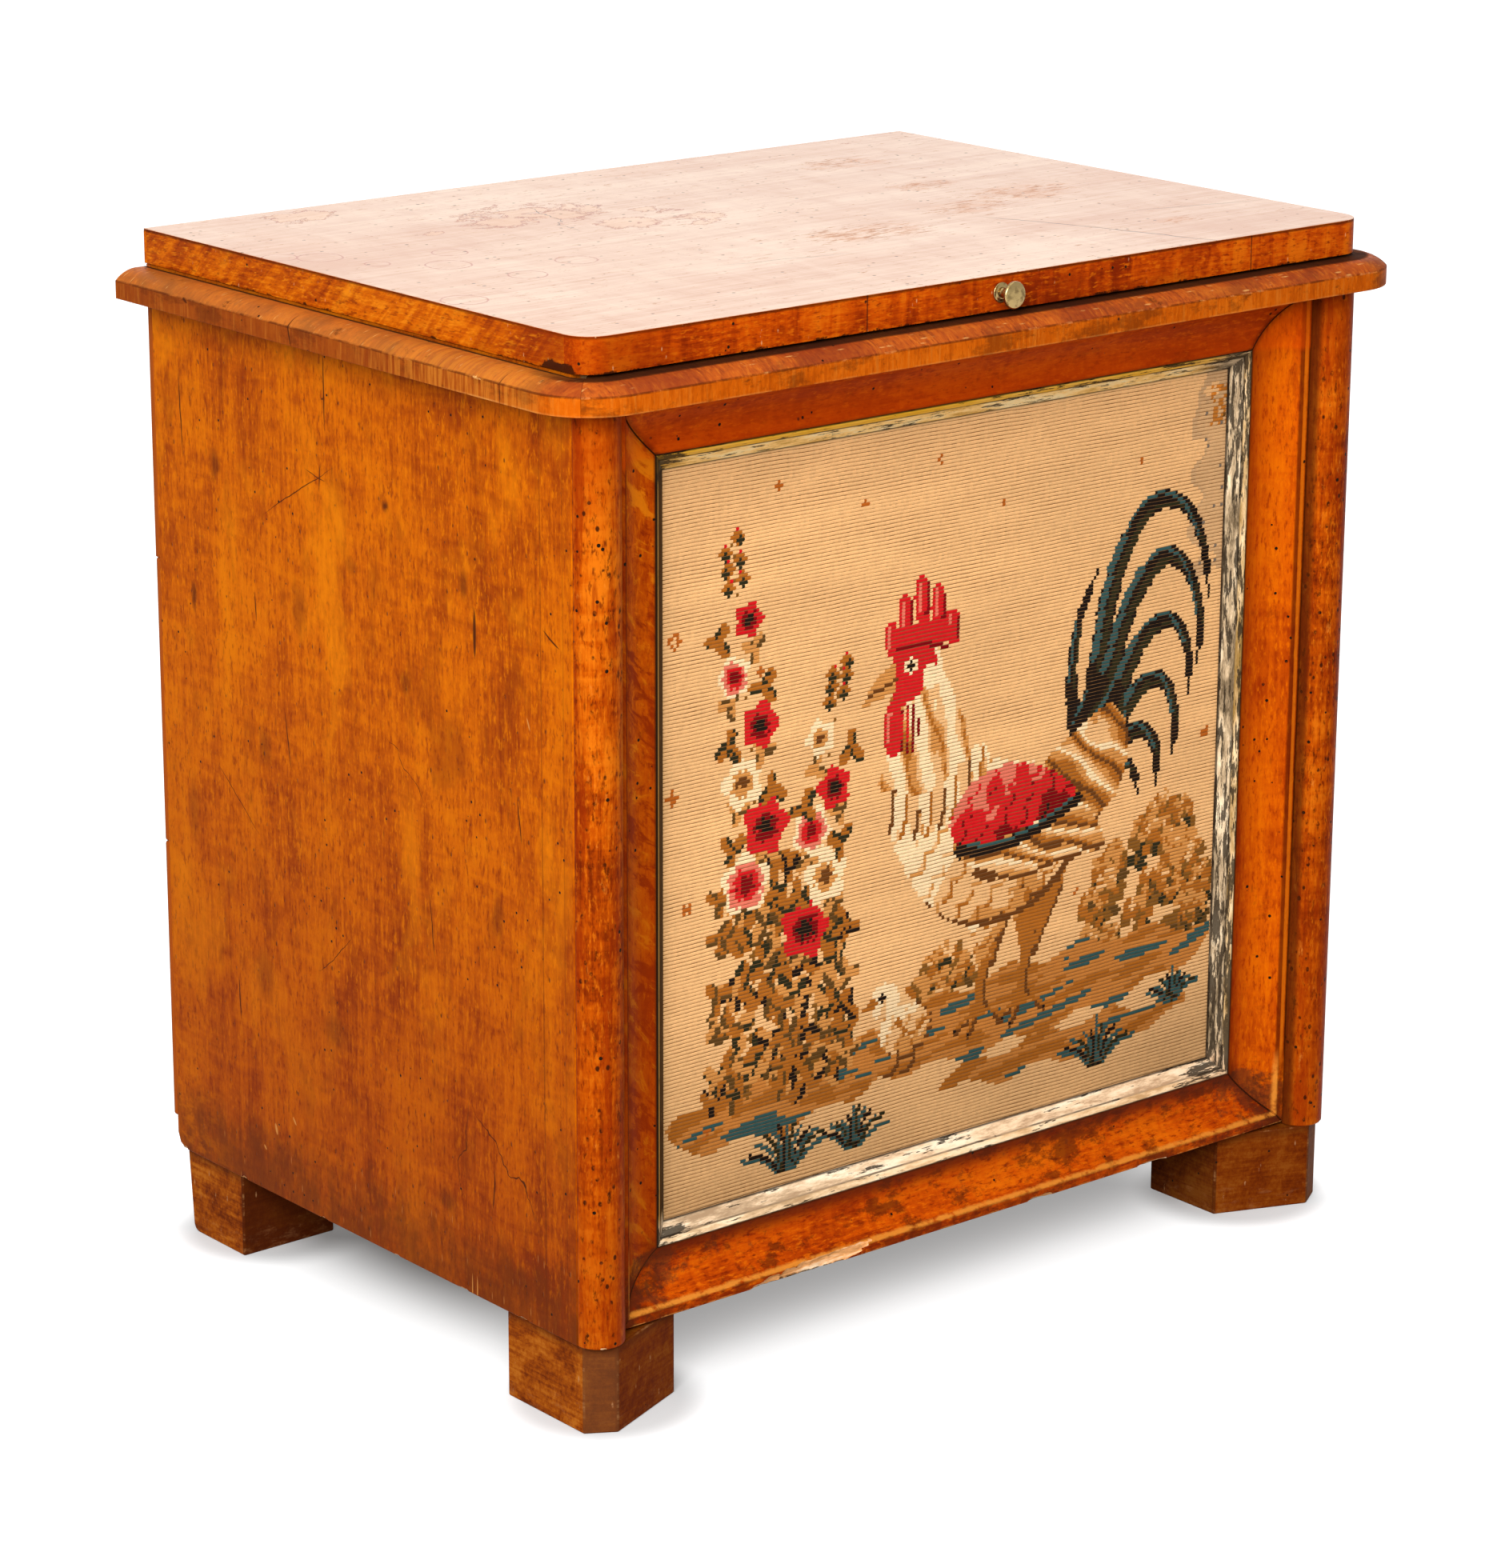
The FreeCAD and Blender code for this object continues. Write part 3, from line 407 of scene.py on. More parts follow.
def frame_veneer(name, grain, tones, figure, contrast):
    """The hollow front frame: orange-red polish, worn and soiled along its bottom rail."""
    finish = Finish(name)
    fibres = figured_wood(finish, grain, tones, figure, contrast, dashed=0.35)
    dark_red = (0.13, 0.010, 0.001)
    reach_x = abs(finish.x) - OPENING_HALF_WIDTH
    reach_z = abs(finish.z - FRAME_MIDDLE) - OPENING_HALF_HEIGHT
    inner = reach_x.most(reach_z)
    mitre = abs(reach_x - reach_z)
    fillet = FRAME_LIP - 6.5 * MM
    on_left = finish.x.rising(-OPENING_HALF_WIDTH + 4 * MM, -OPENING_HALF_WIDTH - 1 * MM)
    low = finish.z.rising(STILE_LOW.z + 56 * MM, STILE_LOW.z + 34 * MM)
    middle = abs(inner - 19 * MM).rising(13 * MM, 3 * MM)
    finish.lay(middle * on_left * (1 - low) * 0.12, tones[-1][1])
    slanted = finish.node("ShaderNodeCombineXYZ", inputs={
        "X": finish.x, "Y": finish.y, "Z": finish.z + finish.x * 0.7})
    bars = finish.cloud((40, 40, 66), 5, 0.70, 0.7, slanted)
    finish.lay(bars.rising(0.49, 0.39) * on_left * 0.85, (0.22, 0.016, 0.001))
    finish.lay(bars.rising(0.53, 0.63) * on_left * 0.75, (0.78, 0.215, 0.004))
    # Painted shade: the hollow darkens towards the slip, in the recess beside it.
    finish.lay((1 - on_left) * inner.rising(26 * MM, 4 * MM) * 0.30, (0.34, 0.026, 0.001))
    # Painted shade on the left stile's hollow, which faces away from the light, deeper towards its bottom.
    left_stile_shade = finish.z.rising(FRAME_MIDDLE + 0.26, FRAME_MIDDLE - 0.10) * on_left
    finish.lay(left_stile_shade * 0.46, (0.24, 0.024, 0.001))
    # More painted shade in the hollow beside the slip, deeper on the bottom rail.
    finish.lay(inner.rising(15 * MM, 1 * MM) * (0.30 + low * 0.40), dark_red)
    finish.lay(mitre.rising(9 * MM, 0.5 * MM) * 0.35, MAHOGANY_RED)
    joint = mitre.rising(1.0 * MM, 0.3 * MM)
    finish.lay(joint * 0.92, GRIME_AND_SHADE)
    finish.lay(inner.rising(2.0 * MM, 0.4 * MM) * 0.75, UMBER)
    rubbed = finish.cloud((85, 85, 85), 6, 0.72)
    flat = inner.rising(fillet - 0.6 * MM, fillet + 0.4 * MM)
    # Painted shade on the left stile's fillet.
    finish.lay(flat * on_left * 0.40, (0.20, 0.016, 0.001))
    line = abs(inner - fillet).rising(1.3 * MM, 0.5 * MM) * (1 - low)
    finish.lay(line * 0.80, (0.085, 0.008, 0.001))
    lit = abs(inner - fillet - 2.8 * MM).rising(1.7 * MM, 1.0 * MM) * (1 - low) * (1 - on_left)
    finish.lay(lit * 0.60, (0.72, 0.17, 0.006))
    # Painted shade where the frame meets the post.
    shade_by_post = inner.rising(FRAME_LIP - 2.4 * MM, FRAME_LIP - 0.8 * MM) * (1 - low)
    finish.lay(shade_by_post * 0.92, (0.050, 0.006, 0.001))
    # Painted light: the top rail, which the rim shades, is lifted to a brighter red.
    high = (finish.z - FRAME_MIDDLE).rising(OPENING_HALF_HEIGHT - 4 * MM, OPENING_HALF_HEIGHT + 1 * MM)
    finish.lay(high * (1 - mitre.rising(6 * MM, 1 * MM)) * 0.30, (0.84, 0.085, 0.001))
    soiled = (finish.cloud((34, 34, 60), 6, 0.76) + low * 0.05).rising(0.56, 0.66)
    finish.lay(soiled * (0.25 + low * 0.45), (0.085, 0.013, 0.002))
    # Soot along the bottom rail.
    soot_and_shade = mitre.rising(46 * MM, 6 * MM) * 0.20 + finish.cloud((60, 60, 60), 6, 0.76)
    finish.lay((soot_and_shade * low).rising(0.58, 0.70) * 0.62, (0.060, 0.017, 0.007))
    # Painted shade on the bottom rail beside the slip.
    finish.lay(inner.rising(13 * MM, 2 * MM) * low * 0.45, (0.055, 0.008, 0.002))
    golden = abs(inner - fillet + 0.4 * MM + (rubbed - 0.5) * 3 * MM).rising(1.8 * MM, 0.4 * MM) * low
    finish.lay(golden * rubbed.rising(0.34, 0.50) * 0.85, (0.70, 0.25, 0.030))
    finish.lay(flat * low * rubbed.rising(0.60, 0.44) * 0.60, (0.10, 0.012, 0.001))
    low_edge = finish.z.rising(STILE_LOW.z + 2.6 * MM, STILE_LOW.z + 0.8 * MM)
    bare = (low_edge * 0.42 + rubbed * 0.75).rising(0.76, 0.86)
    finish.lay(bare * 0.55, (0.62, 0.24, 0.05))
    holes = worm_holes(finish, 0.085, 0.46)
    finish.lay(holes, GRIME_AND_SHADE)
    height = fibres * 0.08 - holes - joint * 0.5 - bare * rubbed * 0.5
    return finish.surface(finish.colour, 0.33 + rubbed * 0.14 + bare * 0.3, height, 0.5 * MM, **POLISH)


RIM_MARKS = [
    ((RIM_LOW.x, 0.044, RIM_HIGH.z), (RIM_LOW.x, 0.040, RIM_LOW.z - 2 * MM), 2.2 * MM, 3 * MM),
    ((RIM_LOW.x, -0.1675, RIM_HIGH.z), (RIM_LOW.x, -0.1685, RIM_LOW.z - 2 * MM), 1.3 * MM, 1 * MM),
    ((RIM_LOW.x, 0.157, RIM_LOW.z + 12 * MM), (RIM_LOW.x, 0.151, RIM_LOW.z + 9 * MM), 3.0 * MM, 1 * MM)]


def rim_veneer(name, grain):
    """The rim moulding, its veneer laid across it, and a strip under the lid darkened with painted shadow."""
    finish = Finish(name)
    fibres = figured_wood(finish, grain, birch_tones(
        (0.15, 0.018, 0.001), (0.34, 0.052, 0.002), (0.47, 0.086, 0.003), (0.60, 0.15, 0.008)),
        figure=0.20, contrast=2.4)
    arris_z = RIM_LOW.z + 11.3 * MM
    fascia = finish.z.rising(arris_z + 0.5 * MM, arris_z - 0.5 * MM)
    slope = 1 - fascia
    on_front = finish.y.rising(RIM_HIGH.y + 10 * MM, RIM_LOW.y + 16 * MM)
    backward = finish.y.rising(-0.19, -0.05)
    ticks = finish.cloud(along_grain(grain, 330, 24), 3, 0.72)
    finish.lay(fascia * on_front * 0.50, (0.62, 0.108, 0.001))
    finish.lay(fascia * (1 - on_front) * 0.62, (0.36, 0.072, 0.006))
    finish.lay(fascia * backward * 0.50, (0.20, 0.034, 0.003))
    finish.lay(fascia * ticks.rising(0.50, 0.68) * 0.35, (0.60, 0.19, 0.020))
    finish.lay(fascia * ticks.rising(0.48, 0.34) * 0.32, (0.22, 0.030, 0.002))
    rubbed = finish.cloud((50, 50, 100), 6, 0.74)
    soiled = finish.cloud((24, 24, 50), 6, 0.74).rising(0.50, 0.62)
    finish.lay(soiled * 0.58, (0.12, 0.020, 0.002))
    reds = finish.cloud((15, 15, 15), 4, 0.6).rising(0.42, 0.60)
    # Paler, more golden slope: partly the veneer's own tone and partly a painted reflection of the light
    # above.
    finish.lay(slope * on_front * 0.18, (0.54, 0.130, 0.045))
    finish.lay(slope * (1 - on_front) * 0.42, (0.58, 0.200, 0.038))
    finish.lay(reds * slope * on_front * 0.62, (0.22, 0.028, 0.008))
    finish.lay(reds * slope * backward * 0.45, (0.24, 0.060, 0.014))
    forward = finish.y.rising(0.02, -0.12) * (1 - on_front)
    finish.lay(forward * ticks.rising(0.40, 0.58) * 0.50, (0.62, 0.200, 0.020))
    scores = finish.cells((60, 330, 60)).rising(0.24, 0.09) * rubbed.rising(0.44, 0.56) * slope
    finish.lay(scores * 0.60, (0.76, 0.38, 0.11))
    # Painted shadow under the lid: the strip darkens near the lid's edge on the sides and all along the
    # front.
    beyond = (abs(finish.x) + LID_LOW.x).most(LID_FRONT - finish.y)
    under_lid_shade = beyond.rising(2.4 * MM, 1.0 * MM).most(on_front)
    strip = finish.z.rising(RIM_HIGH.z - 0.6 * MM, RIM_HIGH.z - 0.1 * MM) * under_lid_shade
    finish.lay(strip * 0.9, GRIME_AND_SHADE)
    finish.lay(rubbed.rising(0.60, 0.68) * 0.60, UMBER)
    arris = abs(finish.z - arris_z).rising(0.9 * MM, 0.3 * MM)
    finish.lay(arris * rubbed.rising(0.62, 0.44) * 0.75, (0.085, 0.014, 0.002))
    nicks = rubbed.rising(0.54, 0.62) * (1 - backward) * (1 - on_front * 0.8)
    finish.lay(arris * nicks * 0.90, (0.82, 0.44, 0.15))
    near_corner = finish.y.rising(-0.10, -0.16) * (1 - on_front * 0.6)
    lower_arris = finish.z.rising(RIM_LOW.z + 1.6 * MM, RIM_LOW.z + 0.5 * MM)
    chafed = lower_arris * rubbed.rising(0.42, 0.54) * near_corner
    finish.lay(chafed * 0.60, (0.66, 0.27, 0.06))
    finish.lay(strokes(finish, (1, 0, 0), RIM_MARKS) * finish.x.rising(-RIGHT, LEFT - 6 * MM) * 0.9, UMBER)
    holes = worm_holes(finish, 0.070, 0.51)
    finish.lay(holes, GRIME_AND_SHADE)
    height = fibres * 0.08 + ticks * fascia * 0.15 + rubbed * 0.2 - holes
    return finish.surface(finish.colour, 0.38 + rubbed * 0.20 + strip * 0.3, height, 0.5 * MM, **POLISH)


def band_veneer(name, grain, tones, seams=(), slant=0.0, ripple=80):
    """The lid's edge bands, with seams between the leaves at these places along x."""
    finish = Finish(name)
    place = finish.node("ShaderNodeCombineXYZ", inputs={
        "X": finish.x, "Y": finish.y + finish.z * slant, "Z": finish.z})
    fibres = figured_wood(finish, grain, tones, 0.75, 2.8, ripple, place, 0.2)
    rubbed = finish.cloud((80, 80, 80), 6, 0.72)
    blushes = finish.cloud((14, 14, 30), 4, 0.65).rising(0.50, 0.62)
    finish.lay(blushes * 0.40, tones[0][1])
    arris = finish.z.rising(BAND_HIGH.z - 1.2 * MM, BAND_HIGH.z - 0.4 * MM)
    finish.lay(arris * 0.65, (0.075, 0.012, 0.001))
    low = finish.z.rising(LID_BASE + 6 * MM, LID_BASE)
    corner = abs(finish.y - LID_FRONT - 24 * MM).rising(26 * MM, 6 * MM) * finish.x.rising(-0.30, -0.311)
    burn = finish.z.rising(LID_BASE + 13 * MM, LID_BASE) * 0.42 * corner + rubbed * 0.5
    near_corner = (abs(finish.x - LID_LOW.x) + abs(finish.y - LID_FRONT)).rising(80 * MM, 26 * MM)
    finish.lay(near_corner * 0.50, (0.27, 0.028, 0.001))
    stain = (low * 0.36 + rubbed * 0.62).rising(0.66, 0.72).most(burn.rising(0.50, 0.54))
    finish.lay(stain * 0.95, (0.034, 0.007, 0.002))
    for seam in seams:
        finish.lay(abs(finish.x - seam).rising(0.7 * MM, 0.15 * MM) * 0.85, GRIME_AND_SHADE)
    holes = worm_holes(finish, 0.075, 0.50)
    finish.lay(holes, GRIME_AND_SHADE)
    nicks = finish.cells((240, 240, 90)).rising(0.16, 0.07) * rubbed.rising(0.50, 0.58)
    finish.lay(nicks * 0.5, (0.80, 0.45, 0.20))
    height = fibres * 0.08 - stain * 0.2 - holes
    return finish.surface(finish.colour, 0.33 + rubbed * 0.16, height, 0.5 * MM, **POLISH)


# The lid's pale tones are its orange veneer with a painted sheen of the light above laid into them.
LID_DARK = (0.56, 0.250, 0.115)
LID_WOOD = (0.65, 0.365, 0.215)
LID_LIGHT = (0.75, 0.480, 0.310)
LID_STAIN = (0.40, 0.060, 0.002)
# The lid's worn places along x and y, with their sizes, in metres
LID_RINGS = [(-0.299, -0.084, 0.014), (-0.306, 0.095, 0.011), (-0.287, 0.080, 0.014), (-0.240, 0.012, 0.014),
             (-0.215, 0.045, 0.011), (-0.222, -0.043, 0.012), (-0.272, 0.041, 0.008), (-0.170, -0.023, 0.013)]
LID_PATCHES = [(-0.100, 0.120, 0.062), (-0.060, 0.060, 0.030), (-0.020, 0.046, 0.028), (-0.020, 0.085, 0.022),
               (-0.213, 0.204, 0.030), (-0.185, 0.105, 0.012)]
LID_SCUFFS = [(0.210, -0.010, 0.050), (0.145, -0.031, 0.040), (0.175, 0.050, 0.030), (0.190, 0.150, 0.040),
              (0.215, -0.150, 0.020), (0.030, -0.060, 0.050)]
LID_CRACKS = [
    ((0.123, -0.059, LID_HIGH.z), (0.160, -0.145, LID_HIGH.z), 1.8 * MM, 9 * MM),
    ((0.150, -0.125, LID_HIGH.z), (0.183, -0.222, LID_HIGH.z), 2.2 * MM, 9 * MM),
    ((0.204, -0.104, LID_HIGH.z), (0.312, -0.131, LID_HIGH.z), 1.0 * MM, 4 * MM),
    ((-0.075, 0.150, LID_HIGH.z), (-0.112, 0.050, LID_HIGH.z), 0.9 * MM, 26 * MM),
    ((-0.120, -0.090, LID_HIGH.z), (-0.020, -0.110, LID_HIGH.z), 0.8 * MM, 8 * MM)]


def lid_veneer():
    """The top, its orange veneer paled by a painted sheen, with rings, worn outlines, scuffs along the grain
    and two cracks.
    """
    finish = Finish("lid_veneer_painted_sheen")
    clouds = finish.cloud((4, 9, 4), 4, 0.6, 0.5)
    fibres = finish.cloud((16, 430, 9), 3, 0.7)
    streaks = finish.cloud((3, 95, 4), 5, 0.65)
    flames = finish.cloud((44, 14, 10), 3, 0.6, 0.8)
    tone = clouds * 0.36 + flames * 0.18 + fibres * 0.22 + streaks * 0.24
    finish.colour = finish.tones((tone - 0.5) * 2.9 + 0.5, [
        (0.28, LID_DARK), (0.50, LID_WOOD), (0.72, LID_LIGHT)])
    rubbed = finish.cloud((55, 90, 10), 6, 0.72)
    ticks = finish.cloud((85, 430, 10), 4, 0.74)
    near = rubbed * 0.10
    for x, y, size in LID_SCUFFS:
        away = (((finish.x - x) * 0.55) ** 2 + (finish.y - y) ** 2) ** 0.5
        near = near.most(away.rising(size, size * 0.2) * 0.15)
    scuffs = (ticks + near + clouds * 0.10).rising(0.70, 0.78)
    finish.lay(scuffs * 0.75, (0.42, 0.130, 0.024))
    bared = near.rising(0.08, 0.14) * rubbed.rising(0.40, 0.60)
    finish.lay(bared * 0.55, (0.60, 0.215, 0.050))
    veil = finish.cloud((7, 12, 10), 5, 0.65).rising(0.52, 0.66)
    finish.lay(veil * 0.24, (0.60, 0.260, 0.110))
    for x, y, size in LID_RINGS:
        away = ((finish.x - x) ** 2 + (finish.y - y) ** 2) ** 0.5
        line = abs(away - size + (rubbed - 0.5) * 4 * MM).rising(0.9 * MM, 0.2 * MM)
        finish.lay(line * ticks.rising(0.36, 0.48) * 0.80, LID_STAIN)
    broken = finish.cloud((30, 44, 10), 7, 0.70, 0.6)
    lifted = 0.0
    for x, y, size in LID_PATCHES:
        away = (((finish.x - x) * 0.7) ** 2 + (finish.y - y) ** 2) ** 0.5
        lifted = (away.rising(size, size * 0.3) * 0.26 + broken).most(lifted)
    edge = abs(lifted - 0.70).rising(0.020, 0.003)
    finish.lay(lifted.rising(0.695, 0.705) * 0.35, (0.72, 0.340, 0.120))
    finish.lay(edge * 0.85, LID_STAIN)
    cracks = strokes(finish, (0, 0, 1), LID_CRACKS)
    finish.lay(cracks * 0.95, UMBER)
    specks = finish.cells((110, 130, 20)).rising(0.18, 0.08) * rubbed.rising(0.49, 0.57)
    finish.lay(specks * 0.90, (0.12, 0.040, 0.010))
    height = fibres * 0.03 - specks - edge * 0.3 - cracks * 0.5
    return finish.surface(finish.colour, 0.32 + scuffs * 0.2 + rubbed * 0.08, height, 0.4 * MM, IOR=1.5,
                          Specular_IOR_Level=0.25, Coat_Weight=0.10, Coat_Roughness=0.2)


def foot_wood():
    """Feet: dull red-brown, dusty, scratched level, with painted shade on their front and inner faces and at
    their tops, and grey on the cants.
    """
    finish = Finish("worn_foot_wood")
    fibres = finish.cloud((30, 30, 460), 3, 0.65)
    clouds = finish.cloud((26, 26, 30), 6, 0.72, 0.8)
    grit = finish.cloud((420, 420, 320), 2, 0.7)
    tone = fibres * 0.24 + clouds * 0.56 + grit * 0.20
    finish.colour = finish.tones((tone - 0.5) * 3 + 0.5, [
        (0.26, (0.12, 0.018, 0.001)), (0.44, (0.23, 0.042, 0.002)), (0.58, (0.33, 0.072, 0.003)),
        (0.76, (0.44, 0.125, 0.010))])
    rubbed = finish.cloud((90, 90, 200), 6, 0.75)
    inward = -FOOT_LOW.x - abs(finish.x)
    behind = finish.y - FOOT_LOW.y
    # Painted shade on the front faces of the feet.
    front_face = abs(behind - (inward - 18 * MM) * 0.397).least(abs(finish.y - BACK_FOOT_LOW.y))
    finish.lay(front_face.rising(2.2 * MM, 1.2 * MM) * 0.62, (0.10, 0.012, 0.001))
    # Painted shade on the back feet's front faces and on the inner faces of all feet.
    back_foot_shade = abs(finish.y - BACK_FOOT_LOW.y).rising(2.2 * MM, 1.2 * MM)
    inside = abs(inward - (FOOT_HIGH.x - FOOT_LOW.x)).rising(1.6 * MM, 0.8 * MM)
    finish.lay(back_foot_shade.most(inside) * 0.72, (0.040, 0.008, 0.002))
    dust = (finish.z.rising(0.040, 0.0) * 0.14 + rubbed * 0.8).rising(0.52, 0.70)
    finish.lay(dust * 0.28, (0.36, 0.150, 0.055))
    cant = (inward / (18 * MM) + behind / (11 * MM)).rising(1.12, 1.04)
    finish.lay(cant * 0.78, (0.110, 0.036, 0.012))
    scores = finish.cells((170, 170, 52)).rising(0.15, 0.06) * rubbed.rising(0.46, 0.56)
    finish.lay(scores * 0.6, (0.48, 0.24, 0.10))
    # Painted shade at the tops of the feet, under the box.
    soot_and_shade = finish.z.rising(BOX_BASE - 9 * MM, BOX_BASE)
    finish.lay(soot_and_shade * 0.6, UMBER)
    finish.lay(finish.marked("arris") * rubbed.rising(0.50, 0.66) * 0.5, (0.36, 0.16, 0.055))
    holes = worm_holes(finish, 0.06, 0.55)
    finish.lay(holes, GRIME_AND_SHADE)
    return finish.surface(finish.colour, 0.55 + rubbed * 0.2, fibres * 0.10 + rubbed * 0.25 - holes, 0.6 * MM,
                          IOR=1.5, Specular_IOR_Level=0.04, Specular_Tint=(1.0, 0.6, 0.35, 1))


def shaded(finish, colour, share):
    return finish.mix(1.0, colour, (share, share, share), "MULTIPLY")


def plain_wood(name, grain, stained_from=None):
    """Unpolished softwood of the inside and the back, stained where it shows past this half width."""
    finish = Finish(name)
    base = OLD_PINE
    clouds = finish.cloud(along_grain(grain, 26, 2.2), detail=4, rough=0.6, bend=0.3)
    fibres = finish.cloud(along_grain(grain, 480, 7), detail=2, rough=0.6)
    finish.colour = finish.tones(clouds * 0.55 + fibres * 0.45, [
        (0.36, shade(base, 0.46)), (0.5, base), (0.64, shade(base, 1.40))])
    own = finish.cloud((0.2, 0.2, 0.2), detail=0)
    finish.colour = finish.mix(own.rising(0.36, 0.64), shaded(finish, finish.colour, 0.74), finish.colour)
    soil = finish.cloud((12, 12, 12), detail=5, rough=0.6).rising(0.45, 0.75)
    finish.lay(soil * 0.40, (0.10, 0.05, 0.022))
    finish.lay(finish.marked("arris") * 0.80, (0.030, 0.016, 0.008))
    if stained_from:
        stain = abs(finish.x).rising(stained_from - 1.5 * MM, stained_from - 0.5 * MM)
        finish.lay(stain * 0.92, (0.34, 0.060, 0.002))
    return finish.surface(finish.colour, 0.72 + soil * 0.15, fibres * 0.4, 0.6 * MM,
                          IOR=1.45, Specular_IOR_Level=0.1)


def old_leaf(name, grain):
    """Gold and silver leaf on cracked pale ground, rubbed to a dark base."""
    finish = Finish(name)
    at_base = finish.z.rising(SLIP_BASE_HIGH.z + 0.01, SLIP_BASE_HIGH.z)
    at_right = finish.x.rising(0.19, 0.228)
    at_left = finish.x.rising(SLIP_HIGH.x + 2 * MM, SLIP_HIGH.x + 0.5 * MM) * finish.z.rising(
        SLIP_TOP_LOW.z + 3 * MM, SLIP_TOP_LOW.z) * (1 - at_base)
    clouds = finish.cloud(along_grain(grain, 110, 22), 6, 0.72)
    flakes = finish.cloud(along_grain(grain, 400, 46), 5, 0.75)
    spread = (clouds - 0.5) * 2.6 + 0.5
    gold = finish.tones(spread, [
        (0.25, (0.62, 0.32, 0.06)), (0.5, (1.00, 0.63, 0.22)), (0.75, (1.00, 0.77, 0.40))])
    silver = finish.tones(spread, [
        (0.25, (0.16, 0.110, 0.060)), (0.5, (0.58, 0.42, 0.25)), (0.75, (0.98, 0.78, 0.52))])
    cream = finish.tones(spread, [
        (0.25, (0.52, 0.320, 0.180)), (0.5, (0.90, 0.64, 0.40)), (0.75, (1.00, 0.83, 0.60))])
    finish.colour = finish.mix(at_base, finish.mix(at_right, gold, silver), cream)
    finish.lay(at_left * 0.97, (0.032, 0.010, 0.003))
    inner = (OPENING_HALF_WIDTH - abs(finish.x)).least(OPENING_HALF_HEIGHT - abs(finish.z - FRAME_MIDDLE))
    thin = at_left * abs(inner - 2.4 * MM).rising(1.3 * MM, 0.5 * MM)
    finish.lay(thin * clouds.rising(0.30, 0.42) * 0.85, (0.66, 0.36, 0.09))
    crumbs = at_left * flakes.rising(0.60, 0.66)
    finish.lay(crumbs * 0.45, (0.60, 0.36, 0.13))
    bead = inner.rising(4.6 * MM, 4.0 * MM) * (1 - at_base * 0.8) * (1 - at_right * 0.7) * (1 - at_left)
    finish.lay(bead * 0.85, (0.80, 0.40, 0.020))
    worn_low = at_right * finish.z.rising(SLIP_BASE_HIGH.z + 0.16, SLIP_BASE_HIGH.z) * 0.05
    corner = (abs(finish.x + OPENING_HALF_WIDTH) + abs(finish.z - SLIP_BASE_LOW.z)).rising(60 * MM, 10 * MM)
    at_top = finish.z.rising(SLIP_TOP_LOW.z - 1 * MM, SLIP_TOP_LOW.z + 1 * MM)
    top_end = (abs(finish.x + OPENING_HALF_WIDTH) + abs(finish.z - SLIP_TOP_HIGH.z)).rising(42 * MM, 6 * MM)
    more = at_right * 0.060 + at_top * 0.022 + corner * 0.07 + top_end * 0.13
    lost = (flakes * 0.65 + clouds * 0.35 + more + worn_low).rising(0.565, 0.590)
    dust = at_base * finish.x.rising(0.02, -0.20) * clouds.rising(0.60, 0.42)
    finish.lay(dust * 0.55, (0.34, 0.240, 0.140))
    finish.lay(lost * 0.92, (0.030, 0.020, 0.012))
    finish.lay(inner.rising(10.9 * MM, 11.7 * MM) * 0.85, GRIME_AND_SHADE)
    finish.lay(inner.rising(1.2 * MM, 0.4 * MM) * 0.90, GRIME_AND_SHADE)
    groove = abs(inner - 4.4 * MM).rising(0.7 * MM, 0.2 * MM)
    finish.lay(groove * clouds.rising(0.35, 0.55) * 0.8, GRIME_AND_SHADE)
    return finish.surface(finish.colour, 0.42 + clouds * 0.25, clouds * 0.4 - lost * 0.5, 0.5 * MM,
                          IOR=1.45, Specular_IOR_Level=0.02, Specular_Tint=(1.0, 0.7, 0.4, 1))


def wool():
    """Stitches, each with the colour that its points carry."""
    finish = Finish("wool_stitches")
    colour = finish.marked("stitch", out="Color")
    fluff = finish.cloud((1500, 1500, 1500), detail=2)
    colour = finish.mix(fluff.rising(0.7, 0.3) * 0.20, colour, (0.55, 0.46, 0.36), "MULTIPLY")
    return finish.surface(colour, 0.95, fluff, 0.15 * MM, IOR=1.4, Specular_IOR_Level=0.0)


def canvas_cloth():
    finish = Finish("canvas_ground")
    threads = finish.cloud((900, 900, 60), detail=2)
    colour = finish.mix(threads, (0.13, 0.058, 0.020), (0.27, 0.130, 0.048))
    return finish.surface(colour, 0.95, threads, 0.2 * MM, IOR=1.4, Specular_IOR_Level=0.0)


def old_brass(name, bright):
    finish = Finish(name)
    clouds = finish.cloud((260, 260, 260), detail=4, rough=0.6)
    tarnish = clouds.rising(0.62 - bright * 0.1, 0.36)
    colour = finish.mix(tarnish * 0.75, (0.40, 0.28, 0.115), (0.16, 0.105, 0.04))
    return finish.surface(colour, 0.24 + tarnish * 0.22, clouds, 0.06 * MM, metal=1.0, Specular_IOR_Level=0.5)


def dark_steel():
    finish = Finish("darkened_steel")
    rust = finish.cloud((600, 600, 600), detail=4, rough=0.6)
    colour = finish.mix(rust.rising(0.4, 0.65), (0.22, 0.20, 0.18), (0.16, 0.07, 0.03))
    return finish.surface(colour, 0.42 + rust * 0.3, rust, 0.1 * MM, metal=0.7, Specular_IOR_Level=0.5)


# Shapes

JOIN = 4e-6
FLAT = math.radians(0.8)
ARRIS = math.radians(26)
ROUND = math.radians(36)


def named(mesh, name):
    piece = bpy.data.objects.new(name, mesh)
    bpy.context.scene.collection.objects.link(piece)
    return piece


def settled(piece):
    """The piece with its modifiers worked into its mesh."""
    bpy.context.view_layer.update()
    view = bpy.context.evaluated_depsgraph_get()
    mesh = bpy.data.meshes.new_from_object(piece.evaluated_get(view), depsgraph=view)
    piece.modifiers.clear()
    piece.data = mesh
    return piece


